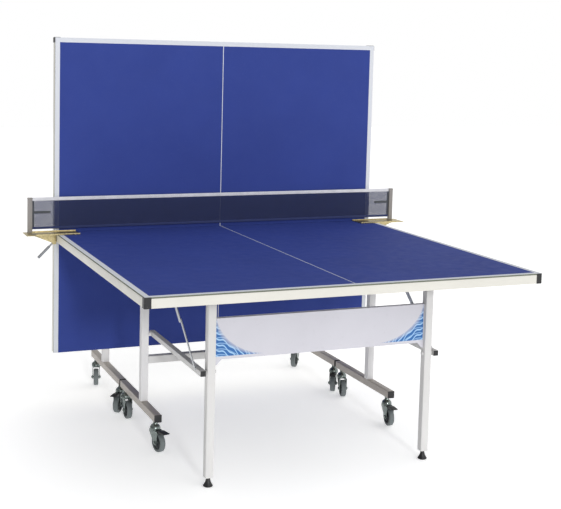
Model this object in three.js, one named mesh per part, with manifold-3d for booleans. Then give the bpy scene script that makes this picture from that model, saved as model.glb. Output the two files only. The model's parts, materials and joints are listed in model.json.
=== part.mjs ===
// Outdoor ping pong table in two separate halves. Each half is a playing board on a steel frame
// that folds upright over its own wheeled carriage. Here the near half is open for play and the
// far half is folded upright behind the net, the position for playing alone.
//
// Units are millimetres and +Z is up. X runs along the net and Y along the length of play, with
// the near half towards -Y. Each half is drawn open, in a frame whose origin is on the floor
// under the middle of its net edge and with the half reaching out towards -Y; it is then folded
// and placed. "Reach" always means the distance out from the net edge.

import * as THREE from "three";
import { mergeVertices } from "three/addons/utils/BufferGeometryUtils.js";
import Module from "manifold-3d";

const wasm = await Module();
wasm.setup();

const degrees = THREE.MathUtils.degToRad;

// ---- driving dimensions -------------------------------------------------------------------

const FIT_GAP = 0.3; // between pieces that rest on each other
const SLIDE_GAP = 1; // between flat faces that swing past each other
const BORE_GAP = 0.5; // radial, between a pin and its hole
const WELD = 1; // how far welded pieces run into each other

const TABLE_WIDTH = 1525;
const HALF_LENGTH = 1370;
const SURFACE_HEIGHT = 760;
const BOARD_THICKNESS = 5;

const APRON_DEPTH = 33; // steel edge channel under the board
const APRON_FLANGE = 22;
const SHEET = 2; // wall of the edge channel, rails and tubes
const RAIL_LIFT = 4; // cross rails stop this far above the lower edge of the apron

const TUBE = 30; // square tube of posts, foot bars, crossbars and legs
const BRACE_TUBE = 20;
const BRACE_WALL = 1.5;

const POST_SPREAD = 510; // carriage posts and foot bars, from the middle of the table
const LEG_SPREAD = 440; // playing legs, from the middle of the table
const PIVOT_REACH = 490; // the pivot that the half folds about
const PIVOT_DROP = 45; // fold and leg pivots, below the playing surface
const GUSSET_REACH = 33; // those pivots stand this far netward of their post or leg
const LEG_REACH = 1108;
const TUBE_TOP_DROP = 46; // tops of posts and legs, below the playing surface
const BRACE_HEIGHT = 418;
const BRACE_OVERHANG = 17; // brace tube past each of its pins

const FOOT_BAR_LENGTH = 495;
const FOOT_BAR_OFFSET = 47; // middle of the foot bar, netward of the post
const CASTER_INSET = 34.5; // caster stem from the end of the foot bar
const CROSSBAR_HEIGHT = 300; // underside above the floor

const FOOT_HEIGHT = 34; // underside of the leg above the floor
const FOOT_RADIUS = 18;
const FOOT_STEM_RADIUS = 5;
const FOOT_STEM_LENGTH = 26; // inside the leg
const LEG_PLUG = 18; // solid end of the leg that holds the foot's stem

const PANEL_LIFT = 460; // lower edge of the leg panel above the floor
const PANEL_HEIGHT = 150;
const PANEL_DEPTH = 15;
const PANEL_WALL = 1.5;
const PANEL_OVERHANG = 2; // panel stands this far in front of the middle of the legs
const PANEL_TAB_WIDTH = 28;
const PANEL_TAB_DROP = 20;

const STAY_REACH = 742; // pivot of the stay on the top frame
const STAY_DROP = 60; // that pivot, below the playing surface
const STAY_SEAT = 6; // pivot of the stay on the brace, above the middle of the brace
const STAY_WALL = 3.5;
const STAY_TO_POST = 4;
const UPPER_STAY_WIDTH = 18;
const LOWER_STAY_WIDTH = 11;

const PIN_RADIUS = 5;
const STAY_PIN_RADIUS = 3;
const GUSSET_RADIUS = 12; // round tip of the gussets
const GUSSET_LENGTH = 105; // gusset along its tube, below the pivot
const PLATE = 5; // gussets, ears and lugs
const EAR_RADIUS = 14;
const HEAD_RADIUS = 8; // bolt heads
const HEAD_HEIGHT = 3;

const WHEEL_RADIUS = 37.5;
const WHEEL_WIDTH = 22;
const WHEEL_SIDES = 16;
const HUB_RADIUS = 11;
const CASTER_TRAIL = 28; // axle behind the swivel stem
const AXLE_RADIUS = 4;
const FORK_WALL = 3;
const FORK_GAP = 2.5; // between wheel and fork cheek
const CROWN_RADIUS = 21;
const NECK_RADIUS = 9;
const STEM_RADIUS = 6;
const STEM_RISE = 14; // caster stem above the underside of the foot bar
const WHEEL_TO_CROWN = 5; // top of the tyre to the underside of the fork
const CASTER_HEAD = 38; // underside of the fork to the foot bar
const CROWN_SIDE = 10; // upright side of the crown
const CROWN_SHOULDER = 6; // how far the crown draws in above it
const NECK_RISE = 12;
const AXLE_NUT_RADIUS = 7;
const AXLE_NUT_HEIGHT = 4;
const PEDAL_PIN_LAG = 8; // pedal pin behind the axle
const PEDAL_PIN_RADIUS = 2.5;
const PEDAL_OVERHANG = 22.5; // pedal tip beyond the tyre
const PEDAL_TIP_RISE = 8; // pedal tip above its pin
const PEDAL_TIP_THICKNESS = 4;

const NET_REACH = -10; // the net stands on the board, this far in from its net edge
const NET_BOTTOM = 25; // above the playing surface
const NET_HEIGHT = 152.5; // top of the net above the playing surface
const NET_THICKNESS = 2;
const NET_POST_OVERHANG = 108.5; // middle of the net post, outside the side of the board
const NET_POST_WIDTH = 20;
const NET_POST_DEPTH = 14;
const BRACKET_GRIP = 90.5; // clamp plate over the board
const BRACKET_OVERHANG = 137.5; // clamp plate outside the side of the board
const BRACKET_DEPTH = 95;
const BRACKET_WALL = 3;
const BRACKET_RIDGE = 7;
const BRACKET_WEB_GAP = 2.5; // web to the side of the board
const LEVER_EAR_LEVEL = 4; // level lower edge of the lever's ears, outside its pin
const LEVER_LENGTH = 92;
const LEVER_RADIUS = 4;
const LEVER_HUB_RADIUS = 7;
const LEVER_PIN_RADIUS = 3;
const LEVER_REACH = 40; // middle of the clamp lever, in from the net edge
const LEVER_SLOPE = degrees(45); // below level

const UPRIGHT = Math.PI / 2;
const UPRIGHT_GAP = 4; // between the net edge of the near half and the upright far board

// Where each caster's wheel trails: its angle from -Y, turning towards +X.
const CASTER_HEADINGS = {
  near_outer_left: degrees(13),
  near_outer_right: degrees(-6),
  near_inner_left: degrees(2),
  near_inner_right: degrees(-15),
  far_inner_left: degrees(-36),
  far_inner_right: degrees(-30),
  far_outer_left: degrees(-15),
  far_outer_right: degrees(-39),
};
const BRAKED_CASTERS = ["near_outer_left", "near_outer_right", "far_inner_left", "far_inner_right"];

// ---- values worked out from them ----------------------------------------------------------

const APRON_TOP = SURFACE_HEIGHT - BOARD_THICKNESS - FIT_GAP;
const APRON_BOTTOM = APRON_TOP - APRON_DEPTH;
const RAIL_WIDTH = 2 * (GUSSET_RADIUS + SLIDE_GAP + SHEET);
const PIVOT_HEIGHT = SURFACE_HEIGHT - PIVOT_DROP;
const TUBE_TOP = SURFACE_HEIGHT - TUBE_TOP_DROP;
const POST_REACH = PIVOT_REACH + GUSSET_REACH;
const LEG_PIVOT_REACH = LEG_REACH - GUSSET_REACH;
const FOOT_BAR_REACH = POST_REACH - FOOT_BAR_OFFSET;
const CROWN_BOTTOM = 2 * WHEEL_RADIUS + WHEEL_TO_CROWN;
const FOOT_BAR_HEIGHT = CROWN_BOTTOM + CASTER_HEAD; // underside above the floor
const FOOT_BAR_TOP = FOOT_BAR_HEIGHT + TUBE;
const CASTER_SPREAD = FOOT_BAR_LENGTH / 2 - CASTER_INSET; // from the middle of the foot bar

// Side by side, from the post towards the middle: upper stay, lower stay, brace, leg.
const POST_INNER = POST_SPREAD - TUBE / 2;
const UPPER_STAY_OUTER = POST_INNER - STAY_TO_POST;
const UPPER_STAY_INNER = UPPER_STAY_OUTER - STAY_WALL;
const LOWER_STAY_OUTER = UPPER_STAY_INNER - SLIDE_GAP;
const LOWER_STAY_INNER = LOWER_STAY_OUTER - STAY_WALL;
const BRACE_OUTER = LOWER_STAY_INNER - SLIDE_GAP;
const BRACE_INNER = BRACE_OUTER - BRACE_TUBE;
const LEG_OUTER = LEG_SPREAD + TUBE / 2;
const LEG_INNER = LEG_SPREAD - TUBE / 2;

// A stay is two equal links in line with each other when the half is open. Its pivot on the
// brace is placed so that both pivots come level when the half is folded, and the links then
// hang side by side.
const STAY_HEIGHT = SURFACE_HEIGHT - STAY_DROP;
const LOWER_STAY_REACH = POST_REACH + STAY_REACH - PIVOT_REACH + PIVOT_HEIGHT - BRACE_HEIGHT;
const LOWER_STAY_HEIGHT = BRACE_HEIGHT + STAY_SEAT;
const STAY_RUN = LOWER_STAY_REACH - STAY_REACH;
const STAY_FALL = STAY_HEIGHT - LOWER_STAY_HEIGHT;
const STAY_LINK = Math.hypot(STAY_RUN, STAY_FALL) / 2;
const STAY_SLOPE = Math.atan2(STAY_FALL, STAY_RUN);
const FOLDED_STAY_GAP = PIVOT_DROP - STAY_DROP + GUSSET_REACH - STAY_SEAT;
const FOLDED_STAY_LEAN = Math.asin(FOLDED_STAY_GAP / 2 / STAY_LINK);
const UPPER_STAY_TURN = STAY_SLOPE + FOLDED_STAY_LEAN - Math.PI; // over a whole fold
const LOWER_STAY_TURN = STAY_SLOPE - FOLDED_STAY_LEAN;

const CHEEK_INNER = WHEEL_WIDTH / 2 + FORK_GAP;
const CHEEK_OUTER = CHEEK_INNER + FORK_WALL;
const FORK_ROOF = 4;
const PEDAL_PIVOT = [CASTER_TRAIL + PEDAL_PIN_LAG, CROWN_BOTTOM]; // behind the stem and above the floor
const PEDAL_TIP = [CASTER_TRAIL + WHEEL_RADIUS + PEDAL_OVERHANG, CROWN_BOTTOM + PEDAL_TIP_RISE];

const BRACKET_BOTTOM = SURFACE_HEIGHT + FIT_GAP;
const BRACKET_TOP = BRACKET_BOTTOM + BRACKET_WALL;
const NET_POST_SPREAD = TABLE_WIDTH / 2 + NET_POST_OVERHANG;
const BRACKET_INNER = TABLE_WIDTH / 2 - BRACKET_GRIP;
const BRACKET_OUTER = TABLE_WIDTH / 2 + BRACKET_OVERHANG;
const BRACKET_WEB = TABLE_WIDTH / 2 + BRACKET_WEB_GAP; // inner face of the web beside the apron
const LEVER_PIVOT_X = BRACKET_WEB + BRACKET_WALL + LEVER_HUB_RADIUS + SLIDE_GAP;
const LEVER_PIVOT_Z = APRON_BOTTOM;

// Folding brings the playing surface to this reach; the far carriage then stands closer to the
// net by the difference from the gap behind the near half.
const FOLDED_FACE_REACH = PIVOT_REACH - PIVOT_DROP;
const FAR_SHIFT = FOLDED_FACE_REACH - UPRIGHT_GAP;

// ---- finishes -----------------------------------------------------------------------------

function finish(color, roughness, metalness) {
  return new THREE.MeshStandardMaterial({ color, roughness, metalness });
}

const FINISHES = {
  board: finish(0x35428c, 0.6, 0),
  apron: finish(0xe8e7e1, 0.4, 0.1),
  tube: finish(0xcfced2, 0.4, 0.1),
  carriage: finish(0xa9a49d, 0.5, 0.1),
  panel: finish(0xdcdce2, 0.4, 0.1),
  zinc: finish(0xb9bcc0, 0.35, 0.9),
  yellowZinc: finish(0xc9b27a, 0.35, 0.8),
  fork: finish(0x4b5556, 0.4, 0.7),
  wheel: finish(0x4d5152, 0.7, 0),
  blackPlastic: finish(0x1d1d1e, 0.5, 0),
  netPost: finish(0x8d8985, 0.5, 0.3),
  net: finish(0x23263a, 0.9, 0),
};

// ---- solids -------------------------------------------------------------------------------

// Turns a closed three.js geometry into a solid that can be joined and cut.
function solid(geometry) {
  const bare = new THREE.BufferGeometry();
  bare.setAttribute("position", geometry.attributes.position);
  bare.setIndex(geometry.index);
  const merged = mergeVertices(bare, 1e-4);
  const vertProperties = new Float32Array(merged.attributes.position.array);
  const triVerts = new Uint32Array(merged.index.array);
  return new wasm.Manifold(new wasm.Mesh({ numProp: 3, vertProperties, triVerts }));
}

function geometryOf(manifold) {
  const mesh = manifold.getMesh();
  const geometry = new THREE.BufferGeometry();
  geometry.setAttribute("position", new THREE.BufferAttribute(mesh.vertProperties, 3));
  geometry.setIndex(new THREE.BufferAttribute(mesh.triVerts, 1));
  const faceted = geometry.toNonIndexed();
  faceted.computeVertexNormals();
  return faceted;
}

// A box given by its two ends along each axis, in either order.
function block([x0, x1], [y0, y1], [z0, z1]) {
  const geometry = new THREE.BoxGeometry(Math.abs(x1 - x0), Math.abs(y1 - y0), Math.abs(z1 - z0));
  geometry.translate((x0 + x1) / 2, (y0 + y1) / 2, (z0 + z1) / 2);
  return solid(geometry);
}

function rodAlongX(x0, x1, y, z, radius, sides = 12) {
  const geometry = new THREE.CylinderGeometry(radius, radius, Math.abs(x1 - x0), sides);
  geometry.rotateZ(Math.PI / 2);
  geometry.translate((x0 + x1) / 2, y, z);
  return solid(geometry);
}

function rodAlongY(x, y0, y1, z, radius, sides = 12) {
  const geometry = new THREE.CylinderGeometry(radius, radius, Math.abs(y1 - y0), sides);
  geometry.translate(x, (y0 + y1) / 2, z);
  return solid(geometry);
}

function rodAlongZ(x, y, z0, z1, radius, sides = 12) {
  const geometry = new THREE.CylinderGeometry(radius, radius, Math.abs(z1 - z0), sides);
  geometry.rotateX(Math.PI / 2);
  geometry.translate(x, y, (z0 + z1) / 2);
  return solid(geometry);
}

function extruded(outline, depth) {
  const shape = new THREE.Shape(outline.map(([a, b]) => new THREE.Vector2(a, b)));
  return new THREE.ExtrudeGeometry(shape, { depth, bevelEnabled: false });
}

// A flat plate between x0 and x1, with its outline given in (Y, Z).
function plateAcrossX(x0, x1, outline) {
  const geometry = extruded(outline, Math.abs(x1 - x0));
  geometry.rotateX(Math.PI / 2);
  geometry.rotateZ(Math.PI / 2);
  geometry.translate(Math.min(x0, x1), 0, 0);
  return solid(geometry);
}

// A flat plate between y0 and y1, with its outline given in (X, Z).
function plateAcrossY(y0, y1, outline) {
  const geometry = extruded(outline, Math.abs(y1 - y0));
  geometry.rotateX(Math.PI / 2);
  geometry.translate(0, Math.max(y0, y1), 0);
  return solid(geometry);
}

// A piece turned about the Z axis, with its profile given in (radius, height).
function turned(profile, sides) {
  const geometry = new THREE.LatheGeometry(profile.map(([r, z]) => new THREE.Vector2(r, z)), sides);
  geometry.rotateX(Math.PI / 2);
  return solid(geometry);
}

function join(...pieces) {
  return pieces.reduce((whole, piece) => whole.add(piece));
}

function cut(whole, ...tools) {
  return tools.reduce((rest, tool) => rest.subtract(tool), whole);
}

function around(middle, width) {
  return [middle - width / 2, middle + width / 2];
}

// Square tube along Z with open ends.
function uprightTube(x, y, z0, z1) {
  const inside = TUBE - 2 * SHEET;
  const outside = block(around(x, TUBE), around(y, TUBE), [z0, z1]);
  return cut(outside, block(around(x, inside), around(y, inside), [z0 - WELD, z1 + WELD]));
}

// ---- playing board and its frame ----------------------------------------------------------

function board() {
  const depth = [SURFACE_HEIGHT - BOARD_THICKNESS, SURFACE_HEIGHT];
  return block(around(0, TABLE_WIDTH), [-HALF_LENGTH, 0], depth);
}

// Steel edge channel all the way round the board, open towards the inside.
function apronRing() {
  const plan = (inset) => [around(0, TABLE_WIDTH - 2 * inset), [inset - HALF_LENGTH, -inset]];
  const ring = block(...plan(0), [APRON_BOTTOM, APRON_TOP]);
  const channel = block(...plan(SHEET), [APRON_BOTTOM + SHEET, APRON_TOP - SHEET]);
  const middle = block(...plan(APRON_FLANGE), [APRON_BOTTOM - WELD, APRON_TOP + WELD]);
  return cut(ring, channel, middle);
}

// Channel across the frame between the side aprons, open downwards.
function crossRail(reach) {
  const bottom = APRON_BOTTOM + RAIL_LIFT;
  const rail = block(around(0, TABLE_WIDTH - SHEET), around(-reach, RAIL_WIDTH), [bottom, APRON_TOP]);
  const hollow = block(
    around(0, TABLE_WIDTH - 2 * APRON_FLANGE),
    around(-reach, RAIL_WIDTH - 2 * SHEET),
    [bottom - WELD, APRON_TOP - SHEET],
  );
  return cut(rail, hollow);
}

// Two ears under a cross rail, one on each side of a gusset, joined by the pivot bolt.
function pivotEars(x, reach) {
  const inner = PLATE / 2 + SLIDE_GAP;
  const outer = inner + PLATE;
  const earHeight = [PIVOT_HEIGHT, APRON_TOP - SHEET / 2];
  const bolt = rodAlongX(x - outer, x + outer, -reach, PIVOT_HEIGHT, PIN_RADIUS);
  const ears = [-1, 1].map((side) => {
    const across = [x + side * inner, x + side * outer];
    const headEnd = x + side * (outer + HEAD_HEIGHT);
    return join(
      block(across, around(-reach, 2 * EAR_RADIUS), earHeight),
      rodAlongX(...across, -reach, PIVOT_HEIGHT, EAR_RADIUS, 16),
      rodAlongX(across[1] - side * WELD, headEnd, -reach, PIVOT_HEIGHT, HEAD_RADIUS, 6),
    );
  });
  return join(bolt, ...ears);
}

// Lug under a cross rail, with the pin that the upper link of a stay turns on.
function stayLug(side) {
  const inner = side * (UPPER_STAY_OUTER + SLIDE_GAP);
  const outer = inner + side * PLATE;
  const radius = UPPER_STAY_WIDTH / 2 + 2;
  return join(
    block([inner, outer], around(-STAY_REACH, 2 * radius), [STAY_HEIGHT, APRON_TOP - SHEET / 2]),
    rodAlongX(inner, outer, -STAY_REACH, STAY_HEIGHT, radius),
    rodAlongX(outer - side, side * UPPER_STAY_INNER, -STAY_REACH, STAY_HEIGHT, STAY_PIN_RADIUS),
  );
}

function topFrame() {
  const rails = [PIVOT_REACH, STAY_REACH, LEG_PIVOT_REACH].map(crossRail);
  const fittings = [-1, 1].map((side) => join(
    pivotEars(side * POST_SPREAD, PIVOT_REACH),
    pivotEars(side * LEG_SPREAD, LEG_PIVOT_REACH),
    stayLug(side),
  ));
  return join(apronRing(), ...rails, ...fittings);
}

// ---- posts, legs and what is welded to them -----------------------------------------------

// Tapered plate on the netward face of a post or leg, with a pivot hole in its round tip.
function gusset(x, reach) {
  const faceY = TUBE / 2 - reach;
  const pivotY = GUSSET_REACH - reach;
  const across = around(x, PLATE);
  const taper = plateAcrossX(...across, [
    [faceY - WELD, PIVOT_HEIGHT - GUSSET_LENGTH],
    [faceY, PIVOT_HEIGHT - GUSSET_LENGTH],
    [pivotY + GUSSET_RADIUS * Math.cos(degrees(25)), PIVOT_HEIGHT - GUSSET_RADIUS * Math.sin(degrees(25))],
    [pivotY, PIVOT_HEIGHT],
    [pivotY, TUBE_TOP],
    [faceY - WELD, TUBE_TOP],
  ]);
  const tip = rodAlongX(...across, pivotY, PIVOT_HEIGHT, GUSSET_RADIUS, 16);
  const hole = rodAlongX(x - PLATE, x + PLATE, pivotY, PIVOT_HEIGHT, PIN_RADIUS + BORE_GAP);
  return cut(join(taper, tip), hole);
}

// Pin on the inner face of a post: the brace turns on it between the spacer and the head.
function bracePin(side) {
  const headStart = side * (BRACE_INNER - SLIDE_GAP);
  const headEnd = headStart - side * HEAD_HEIGHT;
  const postFace = side * (POST_INNER + WELD);
  return join(
    rodAlongX(postFace, side * (BRACE_OUTER + SLIDE_GAP), -POST_REACH, BRACE_HEIGHT, HEAD_RADIUS + 1),
    rodAlongX(postFace, headEnd, -POST_REACH, BRACE_HEIGHT, PIN_RADIUS),
    rodAlongX(headStart, headEnd, -POST_REACH, BRACE_HEIGHT, HEAD_RADIUS, 6),
  );
}

// Foot bar on two casters, with the post welded on top of it.
function sideFrame(side) {
  const x = side * POST_SPREAD;
  const inside = TUBE - 2 * SHEET;
  const barOutside = block(
    around(x, TUBE),
    around(-FOOT_BAR_REACH, FOOT_BAR_LENGTH),
    [FOOT_BAR_HEIGHT, FOOT_BAR_TOP],
  );
  const barInside = block(
    around(x, inside),
    around(-FOOT_BAR_REACH, FOOT_BAR_LENGTH + 2 * WELD),
    [FOOT_BAR_HEIGHT + SHEET, FOOT_BAR_TOP - SHEET],
  );
  const stemHoles = [-1, 1].map((end) => rodAlongZ(
    x,
    end * CASTER_SPREAD - FOOT_BAR_REACH,
    FOOT_BAR_HEIGHT - WELD,
    FOOT_BAR_HEIGHT + SHEET + WELD,
    STEM_RADIUS + BORE_GAP,
  ));
  const bar = cut(barOutside, barInside, ...stemHoles);
  const post = uprightTube(x, -POST_REACH, FOOT_BAR_TOP - WELD, TUBE_TOP);
  return join(bar, post, gusset(x, POST_REACH), bracePin(side));
}

function crossbar() {
  const length = 2 * (POST_INNER - FIT_GAP);
  const inside = TUBE - 2 * SHEET;
  const middleZ = CROSSBAR_HEIGHT + TUBE / 2;
  const outside = block(around(0, length), around(-POST_REACH, TUBE), around(middleZ, TUBE));
  const hollow = block(around(0, length + 2 * WELD), around(-POST_REACH, inside), around(middleZ, inside));
  return cut(outside, hollow);
}

// Square leg with a gusset at the top, a solid end for the foot and the bolt of the brace.
function leg(side) {
  const x = side * LEG_SPREAD;
  const tube = uprightTube(x, -LEG_REACH, FOOT_HEIGHT, TUBE_TOP);
  const end = block(around(x, TUBE), around(-LEG_REACH, TUBE), [FOOT_HEIGHT, FOOT_HEIGHT + LEG_PLUG]);
  const stemHole = rodAlongZ(
    x,
    -LEG_REACH,
    FOOT_HEIGHT - WELD,
    FOOT_HEIGHT + LEG_PLUG + WELD,
    FOOT_STEM_RADIUS + BORE_GAP,
  );
  const outerFace = side * (LEG_OUTER - WELD);
  const innerFace = side * (LEG_INNER + WELD);
  const nutEnd = side * (LEG_INNER - 2 * HEAD_HEIGHT);
  return join(
    cut(join(tube, end), stemHole),
    gusset(x, LEG_REACH),
    rodAlongX(outerFace, side * (BRACE_INNER - SLIDE_GAP), -LEG_REACH, BRACE_HEIGHT, HEAD_RADIUS),
    rodAlongX(outerFace, side * (BRACE_OUTER - BRACE_WALL), -LEG_REACH, BRACE_HEIGHT, PIN_RADIUS),
    rodAlongX(innerFace, nutEnd, -LEG_REACH, BRACE_HEIGHT, HEAD_RADIUS - 1, 6),
  );
}

// Sheet steel tray between the legs, folded back along its four edges, with a tab under each
// end that is fixed to the leg.
function legPanel() {
  const half = LEG_INNER - FIT_GAP;
  const front = -LEG_REACH - PANEL_OVERHANG;
  const back = front + PANEL_DEPTH;
  const top = PANEL_LIFT + PANEL_HEIGHT;
  const tray = block([-half, half], [front, back], [PANEL_LIFT, top]);
  const hollow = block(
    [PANEL_WALL - half, half - PANEL_WALL],
    [front + PANEL_WALL, back + WELD],
    [PANEL_LIFT + PANEL_WALL, top - PANEL_WALL],
  );
  const tabs = [-1, 1].map((side) => plateAcrossY(front, front + 2 * PANEL_WALL, [
    [side * half, PANEL_LIFT + WELD],
    [side * half, PANEL_LIFT - PANEL_TAB_DROP],
    [side * (half - PANEL_TAB_WIDTH / 4), PANEL_LIFT - PANEL_TAB_DROP],
    [side * (half - PANEL_TAB_WIDTH), PANEL_LIFT + WELD],
  ]));
  return join(cut(tray, hollow), ...tabs);
}

// Levelling foot: a cone on a threaded stem that screws into the end of the leg.
function foot(side) {
  const collar = FOOT_HEIGHT - 3;
  const stemTop = FOOT_HEIGHT + FOOT_STEM_LENGTH;
  const profile = [
    [0, 0],
    [FOOT_RADIUS - 2, 0],
    [FOOT_RADIUS, 3],
    [FOOT_RADIUS - 1, 9],
    [FOOT_STEM_RADIUS + 3, collar - 5],
    [FOOT_STEM_RADIUS + 3, collar],
    [FOOT_STEM_RADIUS, collar],
    [FOOT_STEM_RADIUS, stemTop],
    [0, stemTop],
  ];
  return turned(profile, 16).translate([side * LEG_SPREAD, -LEG_REACH, 0]);
}

// ---- braces and stays ---------------------------------------------------------------------

// Square tube from post to leg. It keeps parallel to the board, so the leg stays upright.
function brace(side) {
  const along = [-LEG_REACH - BRACE_OVERHANG, -POST_REACH + BRACE_OVERHANG];
  const outside = block([side * BRACE_INNER, side * BRACE_OUTER], along, around(BRACE_HEIGHT, BRACE_TUBE));
  const hollow = block(
    [side * (BRACE_INNER + BRACE_WALL), side * (BRACE_OUTER - BRACE_WALL)],
    [along[0] - WELD, along[1] + WELD],
    around(BRACE_HEIGHT, BRACE_TUBE - 2 * BRACE_WALL),
  );
  const postHole = rodAlongX(
    side * (BRACE_INNER - WELD),
    side * (BRACE_OUTER + WELD),
    -POST_REACH,
    BRACE_HEIGHT,
    PIN_RADIUS + BORE_GAP,
  );
  const legHole = rodAlongX(
    side * (BRACE_INNER - WELD),
    side * (BRACE_INNER + BRACE_TUBE / 2),
    -LEG_REACH,
    BRACE_HEIGHT,
    PIN_RADIUS + BORE_GAP,
  );
  const stayPin = rodAlongX(
    side * (BRACE_OUTER - BRACE_WALL),
    side * LOWER_STAY_OUTER,
    -LOWER_STAY_REACH,
    LOWER_STAY_HEIGHT,
    STAY_PIN_RADIUS,
  );
  return join(cut(outside, hollow, postHole, legHole), stayPin);
}

// Flat link with round ends, from its pivot hole at (pivotY, pivotZ) towards the knee.
function stayLink(across, width, [pivotY, pivotZ], towardsKnee) {
  const run = towardsKnee * STAY_LINK;
  const bar = join(
    block(across, [pivotY, pivotY + run], around(pivotZ, width)),
    rodAlongX(...across, pivotY, pivotZ, width / 2),
    rodAlongX(...across, pivotY + run, pivotZ, width / 2),
  );
  const hole = rodAlongX(across[0] - WELD, across[1] + WELD, pivotY, pivotZ, STAY_PIN_RADIUS + BORE_GAP);
  const slope = THREE.MathUtils.radToDeg(STAY_SLOPE);
  return cut(bar, hole)
    .translate([0, -pivotY, -pivotZ])
    .rotate([slope, 0, 0])
    .translate([0, pivotY, pivotZ]);
}

function upperStay(side) {
  const across = [side * UPPER_STAY_INNER, side * UPPER_STAY_OUTER].sort((a, b) => a - b);
  return stayLink(across, UPPER_STAY_WIDTH, [-STAY_REACH, STAY_HEIGHT], -1);
}

function lowerStay(side) {
  const across = [side * LOWER_STAY_INNER, side * LOWER_STAY_OUTER].sort((a, b) => a - b);
  return stayLink(across, LOWER_STAY_WIDTH, [-LOWER_STAY_REACH, LOWER_STAY_HEIGHT], 1);
}

// ---- casters, drawn with the stem on the Z axis and the wheel trailing towards +X ---------

function casterFork(braked) {
  const neckBottom = FOOT_BAR_HEIGHT - NECK_RISE;
  const crown = turned([
    [0, CROWN_BOTTOM],
    [CROWN_RADIUS, CROWN_BOTTOM],
    [CROWN_RADIUS, CROWN_BOTTOM + CROWN_SIDE],
    [CROWN_RADIUS - CROWN_SHOULDER, neckBottom - 5],
    [NECK_RADIUS, neckBottom],
    [NECK_RADIUS, FOOT_BAR_HEIGHT - FIT_GAP],
    [STEM_RADIUS, FOOT_BAR_HEIGHT - FIT_GAP],
    [STEM_RADIUS, FOOT_BAR_HEIGHT + STEM_RISE],
    [0, FOOT_BAR_HEIGHT + STEM_RISE],
  ], 12);
  const roofTop = CROWN_BOTTOM + FORK_ROOF;
  const front = 3 - CROWN_RADIUS;
  const rear = PEDAL_PIVOT[0] + 6;
  const roof = block([front, CROWN_RADIUS - 3], [-CHEEK_OUTER, CHEEK_OUTER], [CROWN_BOTTOM, roofTop]);
  const cheekOutline = [
    [front, roofTop],
    [front, CROWN_BOTTOM - 8],
    [CASTER_TRAIL - 9, WHEEL_RADIUS - 6],
    [CASTER_TRAIL - 4, WHEEL_RADIUS - 10],
    [CASTER_TRAIL + 4, WHEEL_RADIUS - 10],
    [CASTER_TRAIL + 9, WHEEL_RADIUS - 4],
    [rear, CROWN_BOTTOM - 6],
    [rear, roofTop],
  ];
  const cheeks = [-1, 1].map((side) => join(
    plateAcrossY(side * CHEEK_INNER, side * CHEEK_OUTER, cheekOutline),
    rodAlongY(
      CASTER_TRAIL,
      side * (CHEEK_OUTER - WELD),
      side * (CHEEK_OUTER + AXLE_NUT_HEIGHT),
      WHEEL_RADIUS,
      AXLE_NUT_RADIUS,
      6,
    ),
  ));
  const pins = [rodAlongY(CASTER_TRAIL, -CHEEK_OUTER, CHEEK_OUTER, WHEEL_RADIUS, AXLE_RADIUS)];
  if (braked) {
    pins.push(rodAlongY(PEDAL_PIVOT[0], -CHEEK_OUTER, CHEEK_OUTER, PEDAL_PIVOT[1], PEDAL_PIN_RADIUS));
  }
  return join(crown, roof, ...cheeks, ...pins);
}

function casterWheel() {
  const bore = AXLE_RADIUS + BORE_GAP;
  const half = WHEEL_WIDTH / 2;
  const hub = half + 1;
  const web = half - 3;
  const profile = [
    [bore, -hub],
    [HUB_RADIUS, -hub],
    [HUB_RADIUS + 2, -web],
    [WHEEL_RADIUS - 10, -half],
    [WHEEL_RADIUS - 3, -half],
    [WHEEL_RADIUS, -web],
    [WHEEL_RADIUS, web],
    [WHEEL_RADIUS - 3, half],
    [WHEEL_RADIUS - 10, half],
    [HUB_RADIUS + 2, web],
    [HUB_RADIUS, hub],
    [bore, hub],
    [bore, -hub],
  ];
  return turned(profile, WHEEL_SIDES).rotate([90, 0, 0]).translate([CASTER_TRAIL, 0, WHEEL_RADIUS]);
}

// Brake pedal between the fork cheeks, turning on a pin above the wheel.
function brakePedal() {
  const [pivotX, pivotZ] = PEDAL_PIVOT;
  const [tipX, tipZ] = PEDAL_TIP;
  const half = CHEEK_INNER - SLIDE_GAP / 2;
  const plate = plateAcrossY(-half, half, [
    [pivotX - 6, pivotZ - 2.5],
    [pivotX + 9, pivotZ - 5],
    [pivotX + 16, pivotZ - 1],
    [tipX, tipZ - PEDAL_TIP_THICKNESS],
    [tipX, tipZ],
    [pivotX + 14, pivotZ + 8],
    [pivotX - 2, pivotZ + 6],
    [pivotX - 6, pivotZ + 3],
  ]);
  return cut(plate, rodAlongY(pivotX, -half - WELD, half + WELD, pivotZ, PEDAL_PIN_RADIUS + BORE_GAP));
}

// ---- net set ------------------------------------------------------------------------------

function netCloth() {
  const half = NET_POST_SPREAD - NET_POST_WIDTH / 2 - FIT_GAP;
  const height = [SURFACE_HEIGHT + NET_BOTTOM, SURFACE_HEIGHT + NET_HEIGHT];
  return block([-half, half], around(NET_REACH, NET_THICKNESS), height);
}

function netPost(side) {
  const height = [BRACKET_TOP + FIT_GAP, SURFACE_HEIGHT + NET_HEIGHT];
  return block(around(side * NET_POST_SPREAD, NET_POST_WIDTH), around(NET_REACH, NET_POST_DEPTH), height);
}

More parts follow.
